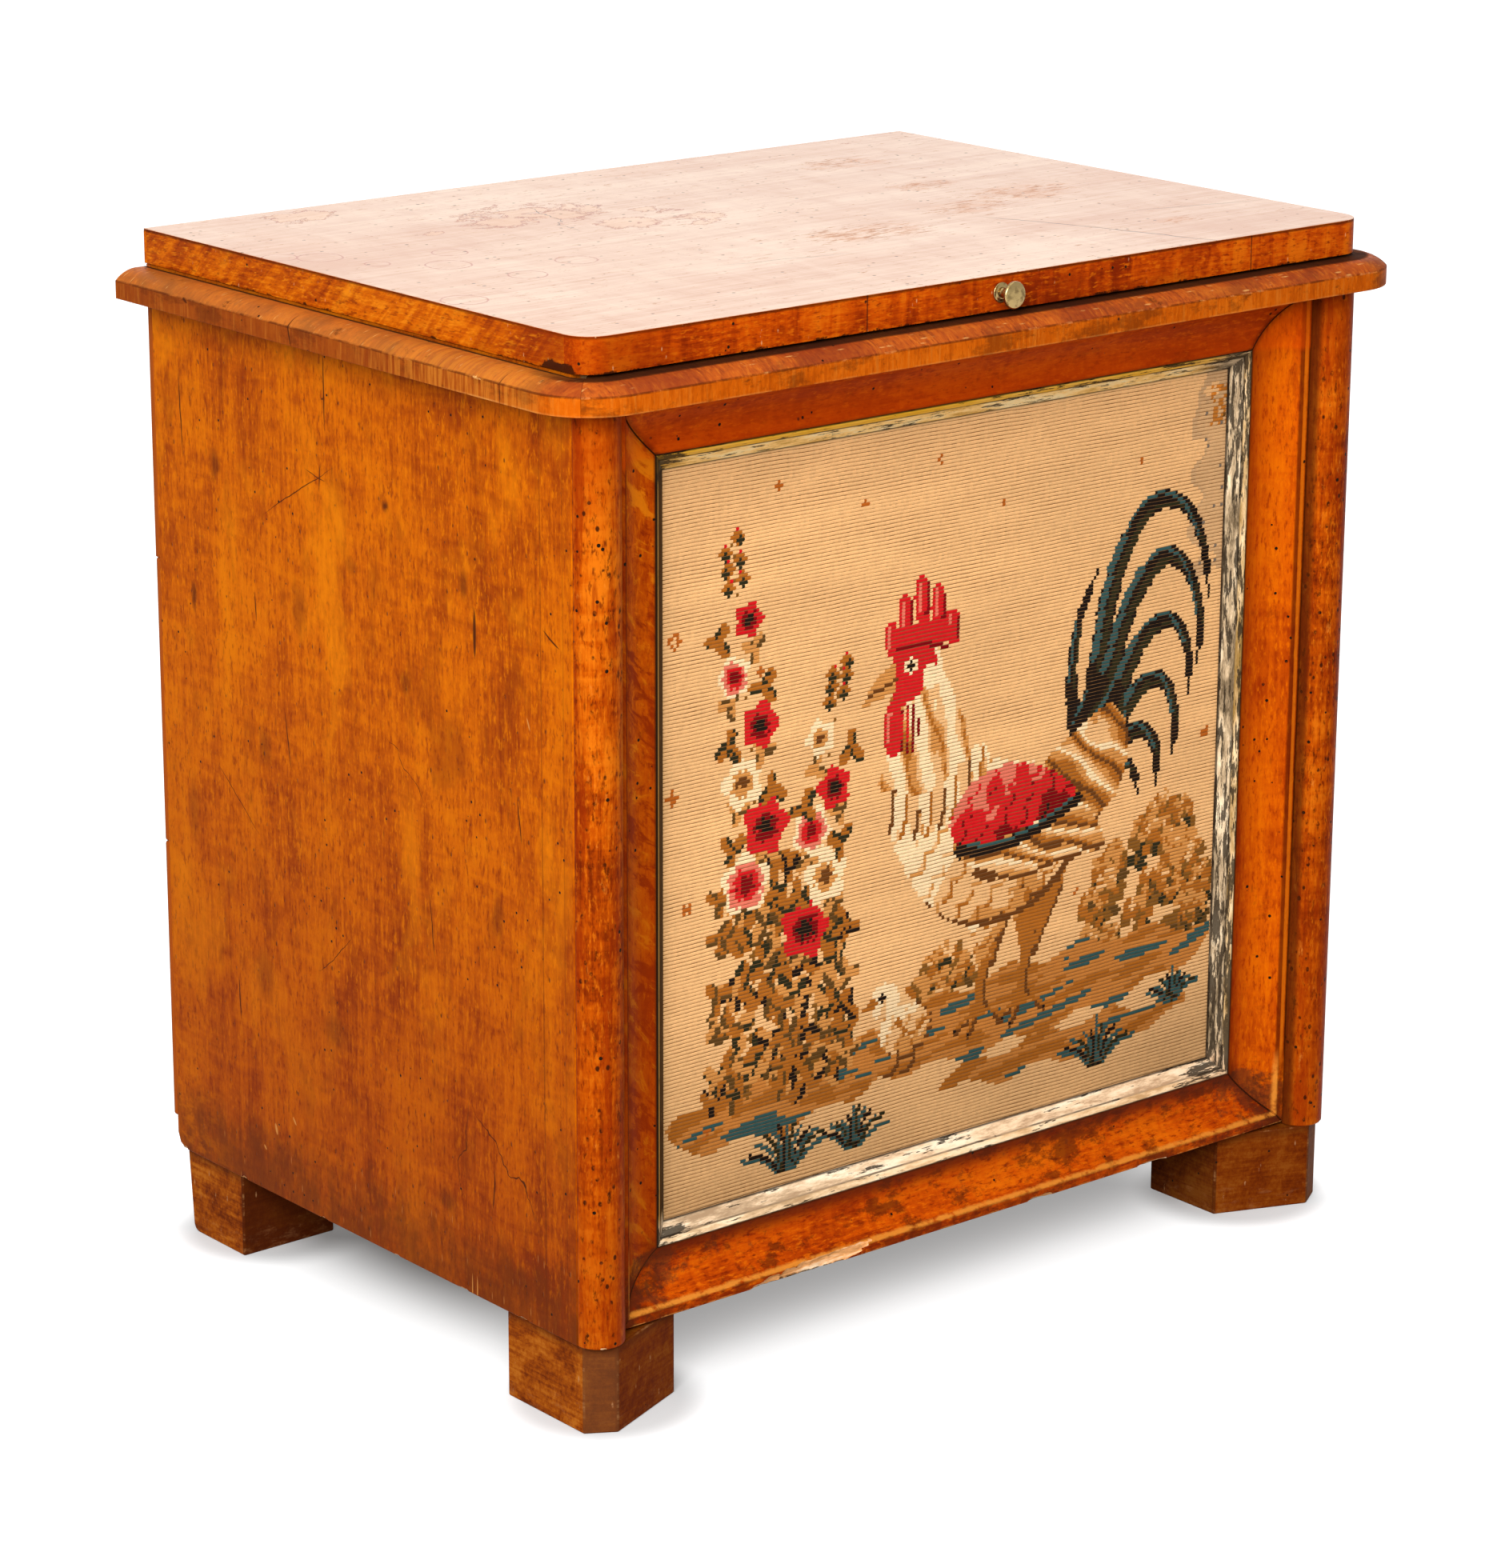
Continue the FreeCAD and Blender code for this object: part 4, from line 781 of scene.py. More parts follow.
def mesh_from(shape, name):
    mesh = bpy.data.meshes.new(name)
    shape.to_mesh(mesh)
    shape.free()
    return mesh


def mark(mesh, name, numbers):
    layer = mesh.attributes.new(name, "FLOAT", "POINT")
    layer.data.foreach_set("value", numbers)


def eased(node, width, segments=3):
    """A copy of a node's shape with its arrises rounded over, and where they are."""
    shape = bmesh.new()
    shape.from_mesh(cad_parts[node].data)
    bmesh.ops.remove_doubles(shape, verts=shape.verts, dist=JOIN)
    bmesh.ops.dissolve_limit(shape, angle_limit=FLAT, verts=shape.verts, edges=shape.edges)
    sharp = [edge for edge in shape.edges if edge.is_manifold and edge.calc_face_angle(0) > ARRIS]
    rounded = bmesh.ops.bevel(shape, geom=sharp, offset=width, offset_type="OFFSET", segments=segments,
                              profile=0.5, affect="EDGES", clamp_overlap=True)
    over = set(rounded["faces"])
    shape.verts.ensure_lookup_table()
    edge_marks = [float(all(face in over for face in vert.link_faces)) for vert in shape.verts]
    mesh = mesh_from(shape, node)
    mark(mesh, "arris", edge_marks)
    return mesh


def smooth(piece):
    """Smooth shading inside each face of the piece, with the large faces kept flat."""
    piece.data.shade_smooth()
    piece.data.set_sharp_from_angle(angle=ROUND)
    weights = piece.modifiers.new("even_normals", "WEIGHTED_NORMAL")
    weights.keep_sharp = True
    return settled(piece)


def dressed(node, body, finishes, width=0.8 * MM, leaf=0.0, chips=()):
    """The finished piece that stands for a node."""
    mesh = eased(node, width)
    mesh.materials.clear()
    for material in finishes:
        mesh.materials.append(material)
    piece = named(mesh, f"{node}_finished")
    if chips:
        cutter = rough_stones(f"{node}_chips", chips, finishes[-1])
        cut = piece.modifiers.new("chips", "BOOLEAN")
        cut.operation = "DIFFERENCE"
        cut.solver = "EXACT"
        cut.object = cutter
        cut.material_mode = "TRANSFER"
        cut.use_self = True
        settled(piece)
        bpy.data.objects.remove(cutter)
    mark(piece.data, "leaf", [leaf] * len(piece.data.vertices))
    smooth(piece)
    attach(piece, body)
    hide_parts(node)
    return piece


def rough_stones(name, places, finish):
    """Rough lumps that break chips out of a piece: each has a place and its half sizes."""
    shape = bmesh.new()
    for place, sizes in places:
        lump = bmesh.ops.create_icosphere(shape, subdivisions=3, radius=1)["verts"]
        for vert in lump:
            swell = 1 + 0.32 * noise.noise(vert.co * 2.1 + Vector(place) * 90)
            vert.co = Vector(place) + Vector(a * b * swell for a, b in zip(vert.co, sizes))
    mesh = mesh_from(shape, name)
    mesh.materials.append(finish)
    return named(mesh, name)


# Wooden pieces

SOFTWOOD_X = plain_wood("softwood_along_x", "x")
SOFTWOOD_Y = plain_wood("softwood_along_y", "y")
BACK_BOARD = plain_wood("softwood_back", "x", BACK_HIGH.x)


def broken_wood():
    """Wood laid bare in a chip."""
    finish = Finish("bare_broken_wood")
    splinters = finish.cloud((40, 420, 420), detail=3, rough=0.6)
    colour = finish.tones(splinters, [(0.3, (0.42, 0.19, 0.06)), (0.5, RAW_WOOD), (0.7, (0.90, 0.66, 0.42))])
    return finish.surface(colour, 0.75, splinters, 1.0 * MM, IOR=1.45, Specular_IOR_Level=0.2)


def wooden_box():
    bare = broken_wood()
    sides = {"left": side_veneer("honey_side_left", True), "right": side_veneer("honey_side_right", False)}
    post = post_veneer()
    upright = frame_veneer("orange_frame_upright", "z", birch_tones(
        (0.28, 0.026, 0.001), (0.44, 0.058, 0.001), (0.56, 0.088, 0.001), (0.66, 0.130, 0.001)), 0.22, 2.2)
    level = frame_veneer("russet_frame_level", "x", birch_tones(
        (0.17, 0.013, 0.001), (0.36, 0.038, 0.001), (0.53, 0.070, 0.001), (0.66, 0.125, 0.002)), 0.24, 2.3)
    rim_across = rim_veneer("rim_veneer_front", "yz")
    rim_along = rim_veneer("rim_veneer_side", "xz")
    for index, (name, way) in enumerate((("left", -1), ("right", 1))):
        outer = -SIDE_LOW.x * way
        low_chips = [((outer, y, BOX_BASE - 1 * MM), (1.8 * MM, reach * MM, tall * MM))
                     for y, reach, tall in ((SIDE_HIGH.y - 4 * MM, 9, 4.2), (0.150, 4, 3), (0.060, 6, 2.2),
                                            (-0.020, 5, 2), (-0.090, 7, 2.4), (-0.150, 8, 2.4))]
        dressed(f"side_panel_{name}", "box", [sides[name], bare], 0.9 * MM,
                index + 1.3, low_chips)
        toe = ((outer - 6 * MM * way, POST_LOW.y + 1 * MM, BOX_BASE), (5 * MM, 2 * MM, 2 * MM))
        dressed(f"corner_post_{name}", "box", [post, bare], 1.2 * MM, index + 4.1, [toe])
        dressed(f"rim_{name}", "box", [rim_along, bare], 0.7 * MM,
                index + 6.2, rim_damage(way))
        dressed(f"frame_stile_{name}", "box", [upright], 0.7 * MM, index + 8.7)
    dressed("rim_front", "box", [rim_across, bare], 0.7 * MM, 3.9)
    dressed("frame_rail_top", "box", [level], 0.7 * MM, 12.4)
    splinter = [((x * MM, STILE_LOW.y - 0.6 * MM, STILE_LOW.z + low * MM), (reach * MM, 3.2 * MM, tall * MM))
                for x, reach, low, tall in (
                    (-172, 9, 0, 2.6), (-162, 10, 0.5, 4.6), (-150, 11, 0, 6.6), (-137, 12, 1.5, 6.6),
                    (-124, 12, 2.5, 6.6), (-112, 12, 3.6, 6.0), (-101, 10, 5.4, 4.4), (-92, 8, 7.2, 2.8),
                    (-84, 7, 8.4, 1.6), (60, 12, 0, 2.4), (160, 14, 0, 2.0))]
    dressed("frame_rail_bottom", "box", [level, bare], 0.7 * MM, 15.8, splinter)


def feet():
    finish = foot_wood()
    places = ("front_left", "front_right", "back_left", "back_right")
    for index, place in enumerate(places):
        dressed(f"foot_{place}", "box", [finish], 1.3 * MM, index * 2.3 + 0.7)


def rim_damage(way):
    """A bite out of the rim's back end, where the veneer has split off its slope."""
    edge = RIM_LOW.x * -way
    return [((edge - 3 * MM * way, BACK - 4 * MM, RIM_LOW.z + 13.5 * MM), (6 * MM, 3 * MM, 2.4 * MM)),
            ((edge - 1 * MM * way, BACK - 10 * MM, RIM_LOW.z + 12.5 * MM), (4 * MM, 6 * MM, 1.8 * MM))]


def inner_boards():
    for index, node in enumerate(("front_board", "back_rail", "needlework_board", "bottom_board_front",
                                  "bottom_board_middle", "bottom_board_back")):
        dressed(node, "box", [SOFTWOOD_X], 0.6 * MM, index * 1.9 + 0.4)
    for index, name in enumerate(("lower", "middle", "upper")):
        dressed(f"back_board_{name}", "box", [BACK_BOARD], 1.8 * MM, index * 2.3 + 3.1)
    dressed("glue_blocks", "box", [SOFTWOOD_Y], 0.6 * MM, 5.5)
    for index, name in enumerate(("left", "right")):
        dressed(f"lid_cleat_{name}", "lid", [SOFTWOOD_Y], 0.8 * MM, index + 2.2)
    dressed("lid_panel", "lid", [SOFTWOOD_X], 0.3 * MM, 7.7)


def lid_boards():
    top = dressed("lid_top_veneer", "lid", [lid_veneer()], 0.5 * MM, 0.0)
    front_band = band_veneer("lid_edge_front", "x", birch_tones(
        (0.20, 0.016, 0.001), (0.38, 0.040, 0.001), (0.52, 0.066, 0.001), (0.66, 0.130, 0.003)),
        (-0.1055, 0.2121), 0.0, 60)
    dressed("lid_band_front", "lid", [front_band], 0.35 * MM, 2.9)
    side_band = band_veneer("lid_edge_side", "y", birch_tones(
        (0.22, 0.026, 0.001), (0.42, 0.066, 0.001), (0.58, 0.118, 0.001), (0.74, 0.220, 0.006)), (), 1.0, 58)
    for index, name in enumerate(("left", "right", "back")):
        dressed(f"lid_band_{name}", "lid", [side_band], 0.35 * MM, index + 5.6)
    top.data.materials.append(front_band)
    for face in top.data.polygons:
        face.material_index = int(face.normal.z < 0.5)


def gilding():
    upright, level = old_leaf("gilding_upright", "z"), old_leaf("gilding_level", "x")
    slips = (("left", upright), ("right", upright), ("top", level), ("bottom", level))
    for index, (name, finish) in enumerate(slips):
        dressed(f"gilt_slip_{name}", "box", [finish], 0.3 * MM, index * 3.1)


# Metalwork

def turned(name, profile, centre, steps=64):
    """A shape turned on the y axis. The profile's points are (radius, distance forward)."""
    shape = bmesh.new()
    rings = []
    for radius, forward in profile:
        if radius < 1e-7:
            rings.append([shape.verts.new((centre.x, -forward + centre.y, centre.z))])
            continue
        rings.append([shape.verts.new((centre.x + radius * math.cos(math.tau * i / steps), centre.y - forward,
                                       centre.z + radius * math.sin(math.tau * i / steps)))
                      for i in range(steps)])
    for first, second in zip(rings, rings[1:]):
        for i in range(steps):
            j = (i + 1) % steps
            if len(first) == 1:
                shape.faces.new((first[0], second[j], second[i]))
            elif len(second) == 1:
                shape.faces.new((first[i], first[j], second[0]))
            else:
                shape.faces.new((first[i], first[j], second[j], second[i]))
    for ring, turned_over in ((rings[0], False), (rings[-1], True)):
        if len(ring) > 1:
            shape.faces.new(ring if turned_over else ring[::-1])
    bmesh.ops.recalc_face_normals(shape, faces=shape.faces)
    return mesh_from(shape, name)


def rounded_profile(corners, fillet, steps=5):
    """The same profile with the corners between its ends rounded over."""
    points = [corners[0]]
    for before, corner, after in zip(corners, corners[1:], corners[2:]):
        a, b, c = Vector(before), Vector(corner), Vector(after)
        cut = min(fillet, (a - b).length * 0.45, (c - b).length * 0.45)
        start = b + (a - b).normalized() * cut
        end = b + (c - b).normalized() * cut
        for i in range(steps + 1):
            t = i / steps
            points.append(tuple(start * (1 - t) ** 2 + b * 2 * t * (1 - t) + end * t ** 2))
    points.append(corners[-1])
    return points


def knob_fittings():
    brass = old_brass("handled_brass", 1.0)
    centre = Vector(((KNOB_LOW.x + KNOB_HIGH.x) / 2, LID_FRONT, (KNOB_LOW.z + KNOB_HIGH.z) / 2))
    length = LID_FRONT - KNOB_LOW.y
    radius = (KNOB_HIGH.x - KNOB_LOW.x) / 2
    rose = LID_FRONT - ROSE_LOW.y
    rose_radius = (ROSE_HIGH.x - ROSE_LOW.x) / 2
    neck = radius * 0.33
    profile = [(0.0, rose), (neck * 1.25, rose), (neck, rose + length * 0.10), (neck * 0.95, length * 0.42),
               (radius * 0.62, length * 0.68), (radius * 0.97, length * 0.78), (radius, length * 0.86),
               (radius * 0.93, length * 0.93), (radius * 0.5, length * 0.99), (0.0, length)]
    for name, node, points in (
            ("turned_knob", "knob", rounded_profile(profile, 0.9 * MM)),
            ("turned_rose", "knob_rose", rounded_profile([
                (0.0, 0.0), (rose_radius, 0.0), (rose_radius, rose * 0.45), (rose_radius * 0.82, rose * 0.62),
                (neck * 1.35, rose), (0.0, rose)], 0.4 * MM))):
        mesh = turned(name, points, centre)
        mesh.materials.append(brass)
        mark(mesh, "leaf", [0.0] * len(mesh.vertices))
        mesh.shade_smooth()
        mesh.set_sharp_from_angle(angle=ROUND)
        piece = named(mesh, name)
        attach(piece, "lid")
        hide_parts(node)


def hinge_metal():
    brass = old_brass("hinge_brass", 0.2)
    steel = dark_steel()
    for name in ("left", "right"):
        dressed(f"hinge_box_leaf_{name}", "box", [brass], 0.2 * MM)
        dressed(f"hinge_lid_leaf_{name}", "lid", [brass], 0.2 * MM)
        dressed(f"hinge_pin_{name}", "box", [brass], 0.2 * MM)
    for node, body in (("hinge_box_screws", "box"), ("hinge_lid_screws", "lid"), ("knob_screw", "lid")):
        dressed(node, body, [steel], 0.15 * MM)


# Needlework

COLUMNS, ROWS = 206, 198
SIGHT_HALF_WIDTH = OPENING_HALF_WIDTH - 12 * MM
SIGHT_HALF_HEIGHT = OPENING_HALF_HEIGHT - 12 * MM
PITCH_X = SIGHT_HALF_WIDTH * 2 / (COLUMNS - 2)
PITCH_Z = SIGHT_HALF_HEIGHT * 2 / (ROWS - 2)

SAND = (0.90, 0.510, 0.218)
CREAM = (1.00, 0.73, 0.42)
TAN = (0.68, 0.285, 0.070)
GROUND = (0.60, 0.215, 0.042)
OCHRE = (0.44, 0.135, 0.016)
OLIVE = (0.24, 0.095, 0.016)
MOSS = (0.115, 0.055, 0.014)
PINE_GREEN = (0.028, 0.026, 0.012)
TEAL = (0.040, 0.098, 0.094)
SCARLET = (0.66, 0.012, 0.016)
CRIMSON = (0.21, 0.004, 0.007)
ROSE = (0.80, 0.19, 0.12)
INK = (0.015, 0.010, 0.008)
BROWN = (0.15, 0.048, 0.011)
RUST_SPOT = (0.50, 0.12, 0.015)

STITCH_LEAST, STITCH_MOST = 0.90, 1.02
STITCH_RELIEF = 0.62 * MM
CLOTH_THICKNESS = 0.22 * MM
STITCH_SEED = 5
PICTURE_SEED = 41


def curve(points, closed=False, steps=6):
    """A smooth line through the points."""
    if closed:
        around = points[-1:] + points + points[:2]
    else:
        around = [points[0]] + points + [points[-1]]
    smooth_line = []
    for a, b, c, d in zip(around, around[1:], around[2:], around[3:]):
        a, b, c, d = (Vector(p) for p in (a, b, c, d))
        for i in range(steps):
            t = i / steps
            smooth_line.append(tuple(b + (c - a) * t / 2 + (a * 2 - b * 5 + c * 4 - d) * t * t / 2
                                     + (b * 3 - c * 3 + d - a) * t ** 3 / 2))
    return smooth_line if closed else smooth_line + [points[-1]]


def tone_at(tones, level):
    """The tone at a level from 0 to 1."""
    return tones[min(len(tones) - 1, max(0, int(level * len(tones))))]


def plumage(tones, middle, reach, ahead, long, wide):
    """Rounded feathers that overlap along a direction, on a body lit from the upper left,
    with tones from dark to light."""
    def paint(column, row):
        across = (column - middle[0]) / reach[0]
        up = (row - middle[1]) / reach[1]
        cloud = noise.noise(Vector((column * 0.11, row * 0.11, reach[0])))
        light = 0.70 + 0.24 * up - 0.22 * across + 0.26 * cloud
        order = (column * ahead[0] + row * ahead[1]) / long
        aside = ((column * ahead[1] - row * ahead[0]) / wide + math.floor(order) % 2 * 0.5) % 1 - 0.5
        light -= 1.3 * max(0.0, (order + aside * aside * 1.6) % 1 - 0.74)
        return tone_at(tones, light)
    return paint


def hackles(tones, ahead, pitch):
    """Long narrow feathers that lie side by side along a direction."""
    def paint(column, row):
        along = column * ahead[0] + row * ahead[1]
        across = column * ahead[1] - row * ahead[0]
        phase = across / pitch + 0.40 * noise.noise(Vector((along * 0.07, across * 0.25, pitch)))
        return tones[int(phase * len(tones)) % len(tones)]
    return paint


class Picture:
    """The stitched picture, column by column from the left and row by row from the bottom."""

    def __init__(self, seed):
        self.dice = random.Random(seed)
        self.colours = [[SAND] * COLUMNS for _ in range(ROWS)]

    def stitch(self, column, row, paint):
        column, row = round(column), round(row)
        if 0 <= column < COLUMNS and 0 <= row < ROWS:
            self.colours[row][column] = paint(column, row) if callable(paint) else paint

    def oval(self, column, row, across, up, paint, lean=0.0):
        """A filled oval, leaning by an angle, with its half sizes in stitches."""
        reach = int(max(across, up)) + 2
        turn_x, turn_y = math.cos(lean), math.sin(lean)
        for j in range(-reach, reach + 1):
            for i in range(-reach, reach + 1):
                u = (i * turn_x + j * turn_y) / across
                v = (j * turn_x - i * turn_y) / up
                if u * u + v * v <= 1:
                    self.stitch(column + i, row + j, paint)

    def shape(self, points, paint):
        """A filled outline, smooth through its points."""
        points = curve(points, closed=True)
        low = math.floor(min(p[1] for p in points))
        high = math.ceil(max(p[1] for p in points))
        for row in range(low, high + 1):
            crossings = []
            for (x1, y1), (x2, y2) in zip(points, points[1:] + points[:1]):
                if (y1 <= row) != (y2 <= row):
                    crossings.append(x1 + (row - y1) * (x2 - x1) / (y2 - y1))
            crossings.sort()
            for start, end in zip(crossings[::2], crossings[1::2]):
                for column in range(math.ceil(start), math.floor(end) + 1):
                    self.stitch(column, row, paint)

    def line(self, points, paint, width=1.0, tip=None):
        """A smooth line that thins towards its tip."""
        points = curve(points, steps=18)
        tip = width if tip is None else tip
        for index, (x, y) in enumerate(points):
            half = (width + (tip - width) * index / len(points)) / 2
            for j in range(math.floor(-half), math.ceil(half) + 1):
                for i in range(math.floor(-half), math.ceil(half) + 1):
                    if i * i + j * j <= half * half:
                        self.stitch(x + i, y + j, paint)

    def plume(self, points, width, tip=1.4):
        """A curved tail feather, dark with a teal ridge above and a green one below."""
        self.line(points, INK, width, tip)
        above = [(x - width * 0.18, y + width * 0.22) for x, y in points[1:-1]]
        below = [(x + width * 0.12, y - width * 0.16) for x, y in points[1:-1]]
        self.line(below, PINE_GREEN, width * 0.34, 1)
        self.line(above, TEAL, width * 0.30, 1)

    def leaf(self, column, row, size, light, dark):
        """A leaf of three lobes, each light with a dark side."""
        turn = self.dice.uniform(0, math.tau)
        side = self.dice.choice((-1, 1))
        for angle in (turn + 2.0, turn - 2.0, turn):
            x = column + size * 0.55 * math.cos(angle)
            y = row + size * 0.55 * math.sin(angle)

            def paint(i, j):
                aside = side * ((i - x) * math.sin(angle) - (j - y) * math.cos(angle))
                return dark if aside + self.dice.uniform(-0.7, 0.7) > 0.5 else light
            self.oval(x, y, size * 0.72, size * 0.46, paint, angle)

    def clump(self, column, row, size):
        """A rounded spray of leaves, pale above and green below."""
        for tones, lift, spread, count, fat in (
                ((OLIVE, MOSS, OLIVE, PINE_GREEN), -0.35, 0.95, 12, 0.34),
                ((OCHRE, OLIVE, OCHRE), 0.0, 0.85, 10, 0.30),
                ((TAN, OCHRE, TAN), 0.28, 0.70, 8, 0.25), ((TAN, SAND, TAN), 0.45, 0.62, 3, 0.20)):
            for _ in range(count):
                angle = self.dice.uniform(0, math.tau)
                away = self.dice.random() ** 0.5 * size * spread
                self.oval(column + away * math.cos(angle), row + size * lift + away * 0.7 * math.sin(angle),
                          size * fat, size * fat * 0.72, self.dice.choice(tones), self.dice.uniform(-1, 1))

    def tuft(self, column, row, spread, blades):
        """A fan of grass blades in dark green and teal."""
        for index in range(blades):
            lean = (index / (blades - 1) - 0.5) * 2
            tall = spread * self.dice.uniform(0.8, 1.1) * (1.25 - abs(lean) * 0.7)
            tone = (TEAL, INK, TEAL, PINE_GREEN)[index % 4]
            self.line([(column + lean * spread * 0.22, row),
                       (column + lean * spread * 0.62, row + tall * 0.62),
                       (column + lean * spread * 1.15, row + tall * 0.86)], tone, 1.6, 1)

    def bloom(self, column, row, size, tones):
        """A round flower with five petals, dark at its heart."""
        turn = self.dice.uniform(0, math.tau)
        for j in range(-round(size) - 1, round(size) + 2):
            for i in range(-round(size) - 1, round(size) + 2):
                angle = math.atan2(j, i) + turn
                away = math.hypot(i, j) / (size * (0.88 + 0.12 * math.cos(angle * 5)))
                vein = 0.20 if math.cos(angle * 5) < -0.72 else 0.0
                if away <= 1:
                    level = 1 - away + vein + self.dice.uniform(-0.06, 0.06) - 0.10 * j / size
                    self.stitch(column + i, row + j, tone_at(tones, level))

    def meadow(self, left, right, middle, rise, depth, phase):
        """A bank of golden ground with long streaks of teal lying on it."""
        for column in range(max(0, left), min(COLUMNS, right)):
            across = (column - left) / (right - left)
            bulge = math.sin(math.pi * across) ** 0.5
            centre = middle + rise * across + 1.6 * math.sin(column * 0.23 + phase)
            for row in range(round(centre - depth * bulge), round(centre + depth * bulge) + 1):
                lie = noise.noise(Vector((column * 0.042, (row - column * 0.16) * 0.36, phase)))
                tone = GROUND if lie > -0.20 else OCHRE
                self.stitch(column, row, TEAL if lie > 0.27 else tone)


def hollyhocks(picture):
    """Two tall flower stems on the left, with round red and pale blooms."""
    reds = [SCARLET, SCARLET, CRIMSON, INK]
    roses = [CREAM, ROSE, SCARLET, CRIMSON]
    golds = [CREAM, CREAM, TAN, BROWN]
    dice = picture.dice
    for root, top, bow, blooms in (
            ((30, 28), (24, 176), 5, (roses, reds, golds, reds, roses, reds)),
            ((54, 26), (62, 138), -4, (reds, golds, roses, reds, golds))):
        middle = ((root[0] + top[0]) / 2 + bow, (root[1] + top[1]) / 2)
        picture.line([root, middle, top], OLIVE, 2.4, 1)
        stem = curve([root, middle, top], steps=24)
        count = len(blooms)
        for index in range(count + 6):
            x, y = stem[int((0.03 + 0.42 * index / (count + 6)) * len(stem))]
            side = 1 if index % 2 else -1
            for step in range(3):
                picture.leaf(x + side * (4 + step * 3.9), y + 1.8 * step - step * step + dice.uniform(-2, 2),
                             5.2 - step * 0.6, dice.choice((OCHRE, OCHRE, TAN)),
                             dice.choice((INK, PINE_GREEN, MOSS)))
        for index, tones in enumerate(blooms):
            share = 0.40 + 0.48 * index / count
            x, y = stem[int(share * len(stem))]
            size = 9.0 - 4.6 * index / count
            picture.leaf(x + (-7 if index % 2 else 7), y - 4, 4.2, OCHRE, PINE_GREEN)
            picture.leaf(x + (5 if index % 2 else -5), y - 7, 3.6, TAN, MOSS)
            picture.bloom(x + (3.4 if index % 2 else -3.4), y, size, tones)
        for index in range(6):
            x, y = stem[int((0.86 + 0.024 * index) * len(stem))]
            picture.oval(x + (2.2 if index % 2 else -2.2), y, 2.0, 2.2, OCHRE)
            picture.oval(x + (2.6 if index % 2 else -2.6), y - 1, 1.1, 1.2, PINE_GREEN)
            picture.stitch(x + (2 if index % 2 else -2), y + 2, SCARLET)


def tail(picture):
    """Long curved feathers that rise and fall behind the cockerel."""
    for points, width in (
            ([(150, 98), (147, 118), (149, 134), (156, 148)], 5.5),
            ([(153, 98), (157, 122), (163, 146), (175, 162), (188, 162), (197, 150), (200, 134)], 8.5),
            ([(155, 97), (161, 118), (170, 138), (182, 148), (192, 142), (197, 128), (196, 116)], 8.5),
            ([(156, 96), (164, 112), (174, 126), (185, 130), (192, 121), (193, 108)], 8.0),
            ([(157, 95), (166, 106), (176, 114), (184, 112), (188, 102), (187, 92)], 7.5),
            ([(157, 93), (166, 99), (175, 101), (181, 94), (181, 84)], 6.5),
            ([(156, 91), (164, 93), (171, 91), (174, 83)], 5)):
        picture.plume(points, width)
    picture.shape([(144, 84), (146, 102), (154, 116), (166, 116), (169, 100), (161, 86)],
                  hackles([INK, INK, PINE_GREEN, TEAL, INK], (0.60, 0.80), 8))


def cockerel_legs(picture):
    for x, knee, tones in ((135, 132, (BROWN, OCHRE, OCHRE, TAN)),
                           (118, 116, (BROWN, OCHRE, TAN, SAND, CREAM))):
        picture.shape([(x - 11, 74), (x + 10, 74), (x + 10, 62), (x + 4, 52), (knee + 3, 45), (knee - 2, 45),
                       (x - 7, 53), (x - 11, 63)], plumage(tones, (x - 2, 62), (14, 22), (0.25, -0.97), 5, 5))
        picture.line([(x + 10, 62), (x + 4, 52), (knee + 3, 45)], BROWN, 1.4)
        picture.line([(knee + 0.5, 46), (knee - 2, 39), (knee - 1, 33)], OCHRE, 3)
        picture.line([(knee + 2, 46), (knee, 39), (knee + 1, 33)], BROWN, 1.2)
        for reach, drop in ((-11, 3), (-6, 5), (7, 3)):
            picture.line([(knee - 1, 33), (knee + reach * 0.6, 32), (knee + reach, 32 - drop)], OCHRE, 2.2, 1)
            picture.line([(knee + reach * 0.5, 31), (knee + reach, 31 - drop)], BROWN)
            picture.stitch(knee + reach, 32 - drop, INK)


def cockerel_head(picture):
    picture.shape([(80, 127), (81, 136), (88, 141), (95, 137), (96, 130), (90, 125), (84, 123)], SCARLET)
    for x, y, tall in ((80, 141, 4.5), (85, 146, 6.5), (91, 149, 7.5), (97, 147, 6.5), (102, 141, 5)):
        picture.oval(x, y, 2.9, tall, SCARLET, 0.12)
        picture.line([(x + 1.5, y - 3), (x + 2, y + tall - 3)], CRIMSON)
        picture.line([(x - 1, y - 2), (x - 1, y + tall - 2)], ROSE)
    picture.oval(91, 140, 11, 3.8, SCARLET)
    picture.line([(82, 138), (91, 138), (100, 136)], CRIMSON, 1.6)
    picture.oval(81, 117, 3.8, 7.6, SCARLET)
    picture.oval(86.5, 116, 3.2, 6.6, CRIMSON)
    picture.oval(85.5, 117, 1.6, 4.6, SCARLET)
    picture.line([(79.5, 121), (79, 114)], ROSE, 1.4)
    picture.oval(94, 129, 2.8, 3.4, CREAM)
    picture.shape([(81, 134), (76, 132), (70, 125), (77, 126), (81, 127)], TAN)
    picture.line([(72, 127), (82, 130)], BROWN)
    picture.oval(87, 133, 2.3, 2.1, CREAM)
    picture.oval(87, 133, 1.2, 1.2, INK)


